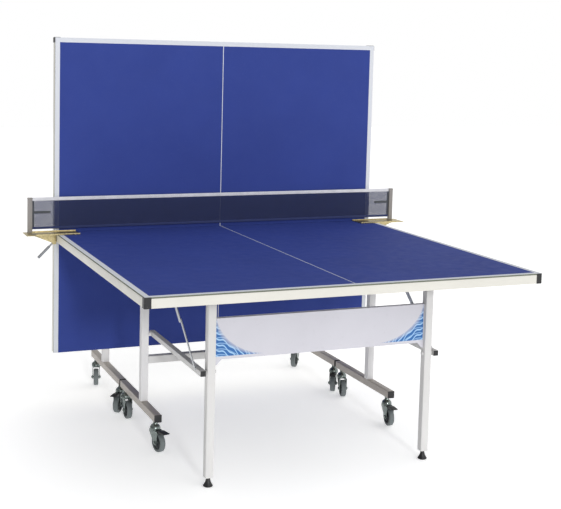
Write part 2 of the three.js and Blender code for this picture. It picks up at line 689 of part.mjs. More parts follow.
// Pressed plate on the corner of the board that carries the net post outboard, with a ridge
// along each long edge, a web beside the apron and a pair of ears for the clamp lever.
function netBracket(side) {
  const netward = NET_REACH + NET_POST_DEPTH / 2;
  const outward = netward - BRACKET_DEPTH;
  const across = [side * BRACKET_INNER, side * BRACKET_OUTER];
  const ridgeAcross = [side * BRACKET_INNER, side * (NET_POST_SPREAD - NET_POST_WIDTH / 2 - SLIDE_GAP)];
  const ridgeHeight = [BRACKET_BOTTOM, BRACKET_BOTTOM + BRACKET_RIDGE];
  const webInner = side * BRACKET_WEB;
  const webOuter = side * (BRACKET_WEB + BRACKET_WALL);
  const hubHalf = LEVER_HUB_RADIUS;
  const pieces = [
    block(across, [outward, netward], [BRACKET_BOTTOM, BRACKET_TOP]),
    block(ridgeAcross, [netward - BRACKET_WALL, netward], ridgeHeight),
    block(ridgeAcross, [outward, outward + BRACKET_WALL], ridgeHeight),
    block(
      [webInner, webOuter],
      around(-LEVER_REACH, 2 * (hubHalf + SLIDE_GAP + BRACKET_WALL)),
      [LEVER_PIVOT_Z - LEVER_HUB_RADIUS, BRACKET_BOTTOM + WELD],
    ),
    rodAlongY(
      side * LEVER_PIVOT_X,
      -LEVER_REACH - hubHalf - SLIDE_GAP - WELD,
      -LEVER_REACH + hubHalf + SLIDE_GAP + WELD,
      LEVER_PIVOT_Z,
      LEVER_PIN_RADIUS,
    ),
  ];
  for (const end of [-1, 1]) {
    const start = -LEVER_REACH + end * (hubHalf + SLIDE_GAP);
    pieces.push(plateAcrossY(start, start + end * BRACKET_WALL, [
      [webInner, BRACKET_BOTTOM + WELD],
      [webInner, LEVER_PIVOT_Z - LEVER_HUB_RADIUS],
      [side * (LEVER_PIVOT_X + LEVER_EAR_LEVEL), LEVER_PIVOT_Z - LEVER_HUB_RADIUS],
      [side * (LEVER_PIVOT_X + LEVER_HUB_RADIUS), LEVER_PIVOT_Z],
      [side * (BRACKET_OUTER - NET_POST_WIDTH), BRACKET_BOTTOM + WELD],
    ]));
  }
  return join(...pieces);
}

// Round clamp lever on a hub, drawn level and then turned down to its clamped angle.
function clampLever(side) {
  const hub = rodAlongY(0, -LEVER_HUB_RADIUS, LEVER_HUB_RADIUS, 0, LEVER_HUB_RADIUS);
  const rod = rodAlongX(0, side * LEVER_LENGTH, 0, 0, LEVER_RADIUS);
  const hole = rodAlongY(
    0,
    -LEVER_HUB_RADIUS - WELD,
    LEVER_HUB_RADIUS + WELD,
    0,
    LEVER_PIN_RADIUS + BORE_GAP,
  );
  return cut(join(hub, rod), hole)
    .rotate([0, side * THREE.MathUtils.radToDeg(LEVER_SLOPE), 0])
    .translate([side * LEVER_PIVOT_X, -LEVER_REACH, LEVER_PIVOT_Z]);
}

// ---- assembly -----------------------------------------------------------------------------

function addPiece(parent, name, manifold, material) {
  const mesh = new THREE.Mesh(geometryOf(manifold), material);
  mesh.name = name;
  parent.add(mesh);
}

// A group that turns what is drawn in it by `angle` about the line along X through a point.
// A positive angle lifts the outer end, as folding does.
function swing(parent, reach, height, angle) {
  const turn = new THREE.Group();
  turn.position.set(0, -reach, height);
  turn.rotation.x = -angle;
  const content = new THREE.Group();
  content.position.set(0, reach, -height);
  turn.add(content);
  parent.add(turn);
  return content;
}

function addCaster(carriage, label, x, y, turn) {
  const caster = new THREE.Group();
  caster.position.set(x, y, 0);
  caster.rotation.z = CASTER_HEADINGS[label] - Math.PI / 2 - turn;
  carriage.add(caster);
  const braked = BRAKED_CASTERS.includes(label);
  addPiece(caster, `${label}_caster_fork`, casterFork(braked), FINISHES.fork);
  addPiece(caster, `${label}_caster_wheel`, casterWheel(), FINISHES.wheel);
  if (braked) {
    addPiece(caster, `${label}_brake_pedal`, brakePedal(), FINISHES.blackPlastic);
  }
}

// One half of the table: `turn` is its turn about Z and `fold` the angle it is folded by.
function addHalf(parent, half, turn, shift, fold) {
  const placed = new THREE.Group();
  placed.rotation.z = turn;
  parent.add(placed);
  const carriage = new THREE.Group();
  carriage.position.y = shift;
  placed.add(carriage);

  const top = swing(carriage, PIVOT_REACH, PIVOT_HEIGHT, fold);
  const legs = swing(top, LEG_PIVOT_REACH, PIVOT_HEIGHT, -fold);
  const braces = swing(carriage, POST_REACH, BRACE_HEIGHT, fold);
  const foldedPart = fold / UPRIGHT;
  const upperStays = swing(top, STAY_REACH, STAY_HEIGHT, UPPER_STAY_TURN * foldedPart);
  const lowerStays = swing(braces, LOWER_STAY_REACH, LOWER_STAY_HEIGHT, LOWER_STAY_TURN * foldedPart);

  addPiece(top, `${half}_board`, board(), FINISHES.board);
  addPiece(top, `${half}_top_frame`, topFrame(), FINISHES.apron);
  addPiece(carriage, `${half}_crossbar`, crossbar(), FINISHES.tube);
  addPiece(legs, `${half}_leg_panel`, legPanel(), FINISHES.panel);
  for (const side of [-1, 1]) {
    const hand = side * Math.cos(turn) < 0 ? "left" : "right";
    addPiece(carriage, `${half}_side_frame_${hand}`, sideFrame(side), FINISHES.carriage);
    addPiece(legs, `${half}_leg_${hand}`, leg(side), FINISHES.tube);
    addPiece(legs, `${half}_foot_${hand}`, foot(side), FINISHES.blackPlastic);
    addPiece(braces, `${half}_brace_${hand}`, brace(side), FINISHES.tube);
    addPiece(upperStays, `${half}_upper_stay_${hand}`, upperStay(side), FINISHES.zinc);
    addPiece(lowerStays, `${half}_lower_stay_${hand}`, lowerStay(side), FINISHES.zinc);
    // "Inner" casters are those at the net end of the foot bars.
    for (const [place, end] of [["outer", -1], ["inner", 1]]) {
      const y = end * CASTER_SPREAD - FOOT_BAR_REACH;
      addCaster(carriage, `${half}_${place}_${hand}`, side * POST_SPREAD, y, turn);
    }
  }
  return top;
}

function addNetSet(top) {
  addPiece(top, "net", netCloth(), FINISHES.net);
  for (const side of [-1, 1]) {
    const hand = side < 0 ? "left" : "right";
    addPiece(top, `net_post_${hand}`, netPost(side), FINISHES.netPost);
    addPiece(top, `net_bracket_${hand}`, netBracket(side), FINISHES.yellowZinc);
    addPiece(top, `clamp_lever_${hand}`, clampLever(side), FINISHES.zinc);
  }
}

// The origin is on the floor under the middle of the whole table as it stands.
const farEnd = FOOT_BAR_REACH + FOOT_BAR_LENGTH / 2 - FAR_SHIFT;
const part = new THREE.Group();
const table = new THREE.Group();
table.position.y = (HALF_LENGTH - farEnd) / 2;
part.add(table);

addNetSet(addHalf(table, "near", 0, 0, 0));
addHalf(table, "far", Math.PI, FAR_SHIFT, UPRIGHT);

export default part;
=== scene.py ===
"""Outdoor ping pong table: the finishes, trim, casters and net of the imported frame.

Everything is in metres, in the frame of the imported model: +X along the net, +Y from the open half
towards the upright half, +Z up. Places are worked out from the boxes and joints of the frame.
"""

import json
import logging
import math
from dataclasses import dataclass, field
from enum import Enum
from typing import Any, Iterable

import bmesh
import bpy
from mathutils import Matrix, Vector

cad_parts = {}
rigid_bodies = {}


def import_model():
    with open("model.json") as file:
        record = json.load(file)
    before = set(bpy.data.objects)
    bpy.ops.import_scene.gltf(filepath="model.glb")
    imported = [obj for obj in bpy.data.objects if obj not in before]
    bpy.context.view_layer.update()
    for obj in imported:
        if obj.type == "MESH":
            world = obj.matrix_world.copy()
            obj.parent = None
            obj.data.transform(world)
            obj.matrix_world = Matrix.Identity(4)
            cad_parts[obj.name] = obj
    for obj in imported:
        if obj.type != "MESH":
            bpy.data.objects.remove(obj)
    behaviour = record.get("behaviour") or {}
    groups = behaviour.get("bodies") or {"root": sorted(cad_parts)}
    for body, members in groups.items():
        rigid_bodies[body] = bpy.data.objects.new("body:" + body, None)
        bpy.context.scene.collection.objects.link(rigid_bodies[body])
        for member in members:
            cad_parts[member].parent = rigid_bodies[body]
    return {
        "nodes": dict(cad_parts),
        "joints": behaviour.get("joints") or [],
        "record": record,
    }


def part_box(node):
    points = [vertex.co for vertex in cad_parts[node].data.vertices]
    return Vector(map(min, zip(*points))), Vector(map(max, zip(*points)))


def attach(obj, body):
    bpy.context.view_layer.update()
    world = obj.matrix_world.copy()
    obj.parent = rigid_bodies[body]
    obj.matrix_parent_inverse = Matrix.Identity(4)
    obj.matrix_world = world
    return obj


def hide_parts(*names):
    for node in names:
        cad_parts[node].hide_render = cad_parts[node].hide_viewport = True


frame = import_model()

LOG = logging.getLogger("ping_pong_table")
MM = 0.001
HALVES = ("near", "far")
HANDS = ("left", "right")
SIDE = {"left": -1, "right": 1}


# ---- colours and nodes ---------------------------------------------------------------------


def linear(hex_colour: str) -> tuple[float, float, float, float]:
    """Turns an sRGB hex colour into linear RGBA.

    Args:
        hex_colour: the colour as "#rrggbb".

    Returns:
        The linear red, green, blue and an alpha of 1.
    """
    values = []
    for start in (1, 3, 5):
        channel = int(hex_colour[start : start + 2], 16) / 255
        if channel <= 0.04045:
            values.append(channel / 12.92)
        else:
            values.append(((channel + 0.055) / 1.055) ** 2.4)
    return (values[0], values[1], values[2], 1.0)


def add_node(
    tree: bpy.types.NodeTree,
    kind: str,
    settings: dict[str, Any] | None = None,
    values: dict[str | int, Any] | None = None,
    links: dict[str | int, bpy.types.NodeSocket] | None = None,
) -> bpy.types.Node:
    """Adds a node with its settings, input values and links.

    Args:
        tree: the node tree to add to.
        kind: the node's type name.
        settings: properties of the node.
        values: default values of its inputs, by name or index.
        links: the output socket that feeds each input, by name or index.

    Returns:
        The new node.
    """
    node = tree.nodes.new(kind)
    for key, value in (settings or {}).items():
        setattr(node, key, value)
    for key, value in (values or {}).items():
        node.inputs[key].default_value = value
    for key, source in (links or {}).items():
        tree.links.new(source, node.inputs[key])
    return node


class Shading:
    """A material under construction: its node tree, its main shader and the usual patterns."""

    def __init__(self, name: str, colour: str, roughness: float, metallic: float = 0.0) -> None:
        """Starts a material with a plain shader.

        Args:
            name: the material's name.
            colour: its sRGB hex colour.
            roughness: roughness of the surface.
            metallic: 1 for bare metal, 0 for paint and plastic.
        """
        self.colour = linear(colour)
        self.roughness = roughness
        self.material = bpy.data.materials.new(name)
        self.material.use_nodes = True
        self.tree = self.material.node_tree
        self.tree.nodes.clear()
        values = {"Base Color": self.colour, "Roughness": roughness, "Metallic": metallic}
        self.shader = self.add("ShaderNodeBsdfPrincipled", values=values)
        self.add("ShaderNodeOutputMaterial", links={"Surface": self.shader.outputs["BSDF"]})
        self.place = self.add("ShaderNodeTexCoord").outputs["Object"]

    def add(self, kind: str, **parts: Any) -> bpy.types.Node:
        """Adds a node to this material's tree; see add_node for the parts."""
        return add_node(self.tree, kind, **parts)

    def feed(self, node: bpy.types.Node, key: str | int, value: Any) -> None:
        """Links an input where the value is a socket, and otherwise sets it."""
        if isinstance(value, bpy.types.NodeSocket):
            self.tree.links.new(value, node.inputs[key])
        else:
            node.inputs[key].default_value = value

    def axes(self) -> Any:
        """Returns the X, Y and Z of the shaded point, as three sockets."""
        return self.add("ShaderNodeSeparateXYZ", links={0: self.place}).outputs

    def math(self, operation: str, *inputs: Any, clamp: bool = False) -> bpy.types.NodeSocket:
        """Works out one sum.

        Args:
            operation: the Math node's operation.
            inputs: its inputs, each a number or a socket.
            clamp: whether the result is held between 0 and 1.

        Returns:
            The result's socket.
        """
        node = self.add("ShaderNodeMath", settings={"operation": operation, "use_clamp": clamp})
        for index, value in enumerate(inputs):
            self.feed(node, index, value)
        return node.outputs[0]

    def grain(self, size: float, detail: float = 3.0) -> bpy.types.NodeSocket:
        """Makes noise whose blotches are about `size` metres across, with `detail` finer octaves."""
        values = {"Scale": 1 / size, "Detail": detail}
        noise = self.add("ShaderNodeTexNoise", values=values, links={"Vector": self.place})
        return noise.outputs["Fac"]

    def mix(self, factor: Any, first: Any, second: Any) -> bpy.types.NodeSocket:
        """Mixes two colours, each an RGBA value or a socket, by a factor socket."""
        node = self.add("ShaderNodeMix", settings={"data_type": "RGBA"})
        for index, value in ((0, factor), (6, first), (7, second)):
            self.feed(node, index, value)
        return node.outputs[2]

    def spread(self, source: bpy.types.NodeSocket, low: float, high: float) -> bpy.types.NodeSocket:
        """Maps noise from about 0.3-0.7 to the range low-high."""
        values = {"From Min": 0.3, "From Max": 0.7, "To Min": low, "To Max": high}
        return self.add("ShaderNodeMapRange", values=values, links={"Value": source}).outputs[0]

    def specks(
        self, size: float, detail: float, low: float, high: float, share: float
    ) -> bpy.types.NodeSocket:
        """Makes scattered marks, where only the peaks of the noise show.

        Args:
            size: the size of the marks in metres.
            detail: octaves of finer noise.
            low: level of the noise's dips; the further below 0, the fewer the marks.
            high: level of its peaks.
            share: how strongly the marks show.

        Returns:
            The strength of the marks.
        """
        level = self.spread(self.grain(size, detail), low, high)
        return self.math("MULTIPLY", level, share, clamp=True)

    def tint(self, base: Any, amount: float, size: float) -> bpy.types.NodeSocket:
        """Varies a colour slightly in large soft blotches.

        Args:
            base: the colour, an RGBA value or a socket.
            amount: how far the value strays from the base, as a share.
            size: the size of the blotches in metres.

        Returns:
            The varied colour.
        """
        value = self.spread(self.grain(size), 1 - amount, 1 + amount)
        node = self.add("ShaderNodeHueSaturation", links={"Value": value})
        self.feed(node, "Color", base)
        return node.outputs[0]

    def vary_roughness(self, amount: float, size: float) -> None:
        """Spreads the roughness by `amount` either way, in blotches of `size` metres."""
        value = self.spread(self.grain(size), self.roughness - amount, self.roughness + amount)
        self.tree.links.new(value, self.shader.inputs["Roughness"])

    def bump(self, height: bpy.types.NodeSocket, depth: float) -> None:
        """Gives the surface relief of `depth` metres."""
        values = {"Strength": 1.0, "Distance": depth}
        node = self.add("ShaderNodeBump", values=values, links={"Height": height})
        self.tree.links.new(node.outputs[0], self.shader.inputs["Normal"])

    def paint(self, colour: bpy.types.NodeSocket) -> None:
        """Feeds a colour into the shader."""
        self.tree.links.new(colour, self.shader.inputs["Base Color"])


# ---- finishes ------------------------------------------------------------------------------


@dataclass(frozen=True)
class PowderCoat:
    """Baked powder coat on steel tube and sheet: satin, with the faint orange peel of melted powder."""

    name: str
    colour: str
    roughness: float = 0.38
    peel: float = 2.2 * MM
    relief: float = 0.05 * MM
    mark_colour: str = "#8d8a84"

    def build(self) -> bpy.types.Material:
        """Returns the finished material."""
        shading = Shading(self.name, self.colour, self.roughness)
        shading.paint(self.dress(shading, shading.colour))
        return shading.material

    def dress(self, shading: Shading, base: Any) -> bpy.types.NodeSocket:
        """Adds peel, gloss changes and handling marks.

        Args:
            shading: the material to dress.
            base: its colour.

        Returns:
            The colour with faint marks.
        """
        shading.vary_roughness(amount=0.06, size=60 * MM)
        shading.bump(shading.grain(self.peel, detail=1.0), self.relief)
        marks = shading.specks(size=14 * MM, detail=5.0, low=-2.2, high=0.5, share=0.10)
        clouded = shading.tint(base, amount=0.03, size=180 * MM)
        return shading.mix(marks, clouded, linear(self.mark_colour))


@dataclass(frozen=True)
class CarriageCoat(PowderCoat):
    """Powder coat in two colours: a grey foot bar under a paler post."""

    bar_colour: str = "#aea69e"
    bar_top: float = 0.148
    clearance: float = 0.4 * MM

    def build(self) -> bpy.types.Material:
        """Returns the finished material, grey below the top of the foot bar."""
        shading = Shading(self.name, self.colour, self.roughness)
        on_post = shading.math("GREATER_THAN", shading.axes()[2], self.bar_top + self.clearance)
        base = shading.mix(on_post, linear(self.bar_colour), linear(self.colour))
        shading.paint(self.dress(shading, base))
        return shading.material


class Lay(Enum):
    """How a board lies: which axis its length follows."""

    OPEN = 1
    UPRIGHT = 2


@dataclass(frozen=True)
class BoardPaint:
    """Sprayed matt playing paint on an aluminium composite sheet, with screen-printed white lines."""

    name: str
    lay: Lay
    node: str
    blue: str = "#34448c"
    dust: str = "#5a68a5"
    line: str = "#d5d8de"
    # Dark olive for the board's real edge, taken from the shadow in the gap between board and edge
    # frame: partly painted shade.
    edge: str = "#6f7466"
    back: str = "#4b4e55"
    border: float = 20 * MM
    centre: float = 3 * MM
    roughness: float = 0.68
    specular: float = 0.12
    thickness: float = 5 * MM
    skin: float = 0.3 * MM
    texture: float = 1.6 * MM
    relief: float = 0.08 * MM

    def build(self) -> bpy.types.Material:
        """Returns the paint with its lines laid out from the board's own box."""
        low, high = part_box(self.node)
        shading = Shading(self.name, self.blue, self.roughness)
        shading.shader.inputs["Specular IOR Level"].default_value = self.specular
        axes = shading.axes()
        if self.lay is Lay.OPEN:
            outer = low.y
            depth = shading.math("SUBTRACT", high.z, axes[2])
        else:
            outer = high.z
            depth = shading.math("SUBTRACT", axes[1], low.y)
        across = shading.math("ABSOLUTE", axes[0])
        on_side = shading.math("GREATER_THAN", across, high.x - self.border)
        from_end = shading.math("ABSOLUTE", shading.math("SUBTRACT", axes[self.lay.value], outer))
        on_end = shading.math("LESS_THAN", from_end, self.border)
        on_middle = shading.math("LESS_THAN", across, self.centre / 2)
        lines = shading.math("MAXIMUM", shading.math("MAXIMUM", on_side, on_end), on_middle)
        sprayed = shading.tint(linear(self.blue), amount=0.05, size=220 * MM)
        dusty = shading.specks(size=9 * MM, detail=6.0, low=-1.5, high=0.6, share=0.12)
        field_colour = shading.mix(dusty, sprayed, linear(self.dust))
        face = shading.mix(lines, field_colour, linear(self.line))
        on_face = shading.math("LESS_THAN", depth, self.skin)
        on_back = shading.math("GREATER_THAN", depth, self.thickness - self.skin)
        # The board's edge between face and back gets the dark olive, which is partly painted shade from
        # the gap beside the edge frame.
        rest = shading.mix(on_back, linear(self.edge), linear(self.back))
        shading.paint(shading.mix(on_face, rest, face))
        shading.vary_roughness(amount=0.07, size=40 * MM)
        shading.bump(shading.grain(self.texture, detail=2.0), self.relief)
        return shading.material


@dataclass(frozen=True)
class PrintedPanel(PowderCoat):
    """White sheet steel with a blue printed sweep in each lower corner, crossed by pale streaks."""

    node: str = ""
    ink: str = "#1f66ad"
    streak: str = "#a5cdef"
    sweep_width: float = 190 * MM
    sweep_height: float = 150 * MM
    inset: float = 4 * MM
    lift: float = 31 * MM
    bow: float = 0.6
    waves: float = 46.0
    curl: float = 1.5
    curl_power: float = 1.6
    sway: float = 30.0
    sway_depth: float = 1.1
    counter_turn: float = -24.0

    def build(self) -> bpy.types.Material:
        """Returns the panel's coat and print."""
        low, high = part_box(self.node)
        shading = Shading(self.name, self.colour, self.roughness)
        math_of = shading.math
        axes = shading.axes()
        across = math_of("SUBTRACT", high.x - self.inset, math_of("ABSOLUTE", axes[0]))
        rise = math_of("SUBTRACT", axes[2], low.z + self.lift)
        a = math_of("DIVIDE", across, self.sweep_width)
        b = math_of("DIVIDE", rise, self.sweep_height)
        sweep = self.sweep(shading, a, b)
        streaks = self.streaks(shading, a, b)
        ink = shading.mix(streaks, linear(self.ink), linear(self.streak))
        printed = shading.mix(sweep, linear(self.colour), ink)
        shading.paint(self.dress(shading, printed))
        return shading.material

    def sweep(self, shading: Shading, a: Any, b: Any) -> bpy.types.NodeSocket:
        """Finds where the corner is printed.

        Args:
            shading: the panel's material.
            a: distance in from the panel's end, as a share of the sweep's width.
            b: height above the sweep's foot, as a share of its height.

        Returns:
            1 inside the hollow curve of the sweep, fading to 0 at its edge.
        """
        math_of = shading.math
        reach = math_of("ADD", math_of("POWER", a, self.bow), math_of("POWER", b, self.bow))
        within = math_of("LESS_THAN", reach, 1.0)
        on_sheet = math_of("MULTIPLY", math_of("GREATER_THAN", a, 0.0), math_of("GREATER_THAN", b, 0.0))
        fade = math_of("MULTIPLY", math_of("SUBTRACT", 1.06, reach), 5.0, clamp=True)
        return math_of("MULTIPLY", math_of("MULTIPLY", within, on_sheet), fade)

    def streaks(self, shading: Shading, a: Any, b: Any) -> bpy.types.NodeSocket:
        """Draws the pale streaks, two sets of curling lines that cross; takes what sweep takes."""
        math_of = shading.math
        curve = math_of("POWER", math_of("MAXIMUM", a, 0.001), self.curl_power)
        phase = math_of("MULTIPLY", math_of("ADD", b, math_of("MULTIPLY", curve, self.curl)), self.waves)
        swing = math_of("MULTIPLY", math_of("SINE", math_of("MULTIPLY", a, self.sway)), self.sway_depth)
        wave = math_of("SINE", math_of("ADD", phase, swing))
        counter = math_of("SINE", math_of("ADD", phase, math_of("MULTIPLY", a, self.counter_turn)))
        crossing = math_of("MAXIMUM", wave, math_of("SUBTRACT", counter, 0.25))
        return math_of("MULTIPLY", math_of("SUBTRACT", crossing, 0.45), 2.2, clamp=True)


@dataclass(frozen=True)
class PlatedSteel:
    """Zinc-plated or passivated steel: dull metal with a cloudy spangle."""

    name: str
    colour: str
    roughness: float = 0.36
    second: str = "#8f8d86"
    metallic: float = 1.0

    def build(self) -> bpy.types.Material:
        """Returns the plating with its cloudy spangle."""
        shading = Shading(self.name, self.colour, self.roughness, self.metallic)
        clouds = shading.spread(shading.grain(size=7 * MM, detail=4.0), 0.0, 0.55)
        shading.paint(shading.mix(clouds, shading.colour, linear(self.second)))
        shading.vary_roughness(amount=0.12, size=5 * MM)
        shading.bump(shading.grain(size=1.2 * MM, detail=2.0), 0.03 * MM)
        return shading.material


@dataclass(frozen=True)
class MouldedPlastic:
    """Injection-moulded plastic or rubber: fine spark-eroded texture with scuffs."""

    name: str
    colour: str
    roughness: float = 0.5
    scuff: str = "#6b6a68"
    texture: float = 0.9 * MM

    def build(self) -> bpy.types.Material:
        """Returns the moulded surface."""
        shading = Shading(self.name, self.colour, self.roughness)
        scuffs = shading.specks(size=6 * MM, detail=6.0, low=-2.0, high=0.7, share=0.4)
        clouded = shading.tint(shading.colour, amount=0.06, size=30 * MM)
        shading.paint(shading.mix(scuffs, clouded, linear(self.scuff)))
        shading.vary_roughness(amount=0.1, size=9 * MM)
        shading.bump(shading.grain(self.texture, detail=2.0), 0.06 * MM)
        return shading.material


@dataclass(frozen=True)
class WovenTape:
    """Woven polyester tape or cord: dull, with small over-and-under checks of painted shade in the
    hollows of the weave, and a slight sheen.

    The thread is drawn coarser than a real one, which would be too fine to show.
    """

    name: str
    colour: str
    thread: float = 1.6 * MM
    sheen: float = 0.25
    # Share of the colour left in the hollows of the weave: painted shade.
    painted_hollow_shade: float = 0.72

    def build(self) -> bpy.types.Material:
        """Returns the woven surface, with painted shade darkening the hollows of its weave."""
        shading = Shading(self.name, self.colour, 0.85)
        shading.shader.inputs["Sheen Weight"].default_value = self.sheen
        axes = shading.axes()
        turns = 2 * math.pi / self.thread
        weft = shading.math("SINE", shading.math("MULTIPLY", axes[0], turns))
        warp = shading.math("SINE", shading.math("MULTIPLY", axes[2], turns))
        weave = shading.math("MULTIPLY_ADD", shading.math("MULTIPLY", weft, warp), 0.5, 0.5)
        # Painted shade: the colour is darkened in the hollows of the weave, following its bump.
        dark = tuple(self.painted_hollow_shade * channel for channel in shading.colour[:3]) + (1.0,)
        shade = shading.mix(weave, dark, shading.colour)
        shading.paint(shading.tint(shade, amount=0.06, size=25 * MM))
        shading.bump(weave, 0.25 * MM)
        return shading.material


class Finishes:
    """Every material of the table, built once."""

    def __init__(self) -> None:
        """Builds the materials."""
        # Matt paint: almost no glint, so the boards stay an even blue.
        self.board = {
            "near": BoardPaint("matt_board_paint_near", Lay.OPEN, "near_board").build(),
            "far": BoardPaint("matt_board_paint_far", Lay.UPRIGHT, "far_board").build(),
        }
        # Powder coats: a warm white edge frame, cooler tubes, a white printed panel, brown posts.
        self.apron = PowderCoat("off_white_powder_coat", "#d6d4cc").build()
        self.tube = PowderCoat("pale_grey_powder_coat", "#d4d3d2").build()
        self.carriage = CarriageCoat("two_tone_powder_coat", "#dddcdd").build()
        self.panel = {
            half: PrintedPanel(f"printed_panel_coat_{half}", "#cfced6", node=f"{half}_leg_panel").build()
            for half in HALVES
        }
        self.net_post = PowderCoat("grey_brown_powder_coat", "#8b8784").build()
        # Plated steels: clear zinc is cool and dull, yellow passivation is straw-coloured.
        self.zinc = PlatedSteel("bright_zinc_plate", "#d5d8dc", 0.42, "#aeb1b4", 0.6).build()
        self.yellow_zinc = PlatedSteel("yellow_passivated_zinc", "#d3c394", 0.34, "#8f8566").build()
        self.caster_steel = PlatedSteel("dark_plated_steel", "#8d9693", 0.26, "#535b59").build()
        self.lever = PlatedSteel("dull_zinc_rod", "#a2a5a9", 0.4, "#7c7f83", 0.7).build()
        self.screw = PlatedSteel("zinc_screw_head", "#b9bcbf", 0.35).build()
        # Moulded plastics: soft sheen broken by scuffs.
        self.tyre = MouldedPlastic("grey_polyurethane_tyre", "#6a7172", 0.55, "#84898a").build()
        self.hub = MouldedPlastic("dark_nylon_hub", "#33383a", 0.5).build()
        self.black = MouldedPlastic("black_polythene_moulding", "#1b1b1d", 0.42).build()
        self.grip = MouldedPlastic("grey_vinyl_sleeve", "#86898e", 0.5, "#a3a5a8").build()
        # Woven polyester: dull thread that catches a little light at a grazing angle.
        self.net_cord = WovenTape("dark_polyester_cord", "#2b3768", 1.2 * MM, 0.1).build()
        self.net_tape = WovenTape("white_woven_tape", "#e3e3e8").build()
        self.net_hem = WovenTape("grey_woven_hem", "#4d5157").build()


# ---- mesh helpers --------------------------------------------------------------------------


def finish_piece(
    name: str,
    mesh: bmesh.types.BMesh,
    material: bpy.types.Material,
    body: str,
    smooth_angle: float = 35.0,
) -> bpy.types.Object:
    """Makes an object of a mesh that is already in place, and lets it ride.

    Args:
        name: the piece's name.
        mesh: its mesh, in the frame; it is freed.
        material: its finish.
        body: the body it rides on.
        smooth_angle: edges sharper than this many degrees stay sharp.

    Returns:
        The new object.
    """
    bmesh.ops.recalc_face_normals(mesh, faces=mesh.faces)
    mesh.normal_update()
    for face in mesh.faces:
        face.smooth = True
    for edge in mesh.edges:
        edge.smooth = edge.calc_face_angle(math.pi) < math.radians(smooth_angle)
    data = bpy.data.meshes.new(name)
    mesh.to_mesh(data)
    mesh.free()
    data.materials.append(material)
    piece = bpy.data.objects.new(name, data)
    bpy.context.scene.collection.objects.link(piece)
    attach(piece, body)
    return piece


def add_box(
    mesh: bmesh.types.BMesh,
    low: Iterable[float],
    high: Iterable[float],
    radius: float = 0.0,
    segments: int = 3,
    turn: Matrix = Matrix.Identity(4),
) -> None:
    """Adds a box with rounded edges.

    Args:
        mesh: the mesh to add to.
        low: its lowest corner.
        high: its highest corner.
        radius: radius of its edges.
        segments: steps round each edge.
        turn: where the box's own axes go.
    """
    low, high = Vector(low), Vector(high)
    place = Matrix.Translation((low + high) / 2) @ Matrix.Diagonal((*(high - low), 1.0))
    made = bmesh.ops.create_cube(mesh, size=1.0, matrix=turn @ place)
    if radius > 0:
        edges = list({edge for vertex in made["verts"] for edge in vertex.link_edges})
        steps = {"segments": segments, "affect": "EDGES", "profile": 0.5}
        bmesh.ops.bevel(mesh, geom=edges, offset=radius, **steps)


def add_turned(
    mesh: bmesh.types.BMesh,
    profile: list[tuple[float, float]],
    place: Matrix,
    steps: int = 40,
    closed: bool = False,
) -> None:
    """Adds a turned solid about the local Z axis.

    Args:
        mesh: the mesh to add to.
        profile: (radius, height) points, from axis to axis or round a closed ring.
        place: where the axis goes.
        steps: sides of the turned shape.
        closed: whether the profile is a closed ring clear of the axis.
    """
    rings = []
    for radius, height in profile:
        if radius == 0:
            rings.append([mesh.verts.new(place @ Vector((0, 0, height)))])
            continue
        ring = []
        for step in range(steps):
            angle = 2 * math.pi * step / steps
            point = Vector((radius * math.cos(angle), radius * math.sin(angle), height))
            ring.append(mesh.verts.new(place @ point))
        rings.append(ring)
    pairs = list(zip(rings, rings[1:]))
    if closed:
        pairs.append((rings[-1], rings[0]))
    for lower, upper in pairs:
        for step in range(steps):
            after = (step + 1) % steps
            corners = [lower[step % len(lower)], lower[after % len(lower)]]
            corners += [upper[after % len(upper)], upper[step % len(upper)]]
            distinct = list(dict.fromkeys(corners))
            if len(distinct) > 2:
                mesh.faces.new(distinct)


def close_prism(
    mesh: bmesh.types.BMesh, first: list[bmesh.types.BMVert], second: list[bmesh.types.BMVert]
) -> None:
    """Adds the two ends and the sides between two equal outlines of corners."""
    mesh.faces.new(first)
    mesh.faces.new(list(reversed(second)))
    count = len(first)
    for index in range(count):
        after = (index + 1) % count
        mesh.faces.new([first[after], first[index], second[index], second[after]])


def rod_profile(radius: float, start: float, end: float) -> list[tuple[float, float]]:
    """Returns the profile of a plain turned rod from start to end."""
    return [(0, start), (radius, start), (radius, end), (0, end)]


def add_plate(
    mesh: bmesh.types.BMesh,
    outline: list[tuple[float, float]],
    start: float,
    end: float,
    place: Matrix,
    radius: float = 0.0,
) -> None:
    """Adds a flat plate: an outline in local X and Z, between two places along local Y.

    Args:
        mesh: the mesh to add to.
        outline: its corners in order.
        start: one face.
        end: the other face.
        place: where its local axes go.
        radius: rounding of its edges.
    """
    first = [mesh.verts.new(place @ Vector((x, start, z))) for x, z in outline]
    second = [mesh.verts.new(place @ Vector((x, end, z))) for x, z in outline]
    close_prism(mesh, first, second)
    if radius > 0:
        edges = list({edge for vertex in first + second for edge in vertex.link_edges})
        bmesh.ops.bevel(mesh, geom=edges, offset=radius, segments=2, affect="EDGES", profile=0.5)


def arc(
    centre: tuple[float, float], radius: float, start: float, end: float, steps: int = 8
) -> list[tuple[float, float]]:
    """Points along an arc.

    Args:
        centre: its middle.
        radius: its radius.
        start: first angle in degrees.
        end: last angle in degrees.
        steps: how many steps it takes.

    Returns:
        The points in order.
    """
    points = []
    for step in range(steps + 1):
        angle = math.radians(start + (end - start) * step / steps)
        points.append((centre[0] + radius * math.cos(angle), centre[1] + radius * math.sin(angle)))
    return points


def joint_named(name: str) -> dict[str, Any]:
    """Returns the frame's joint of that name."""
    return next(joint for joint in frame["joints"] if joint["name"] == name)


# ---- rounded steelwork ---------------------------------------------------------------------


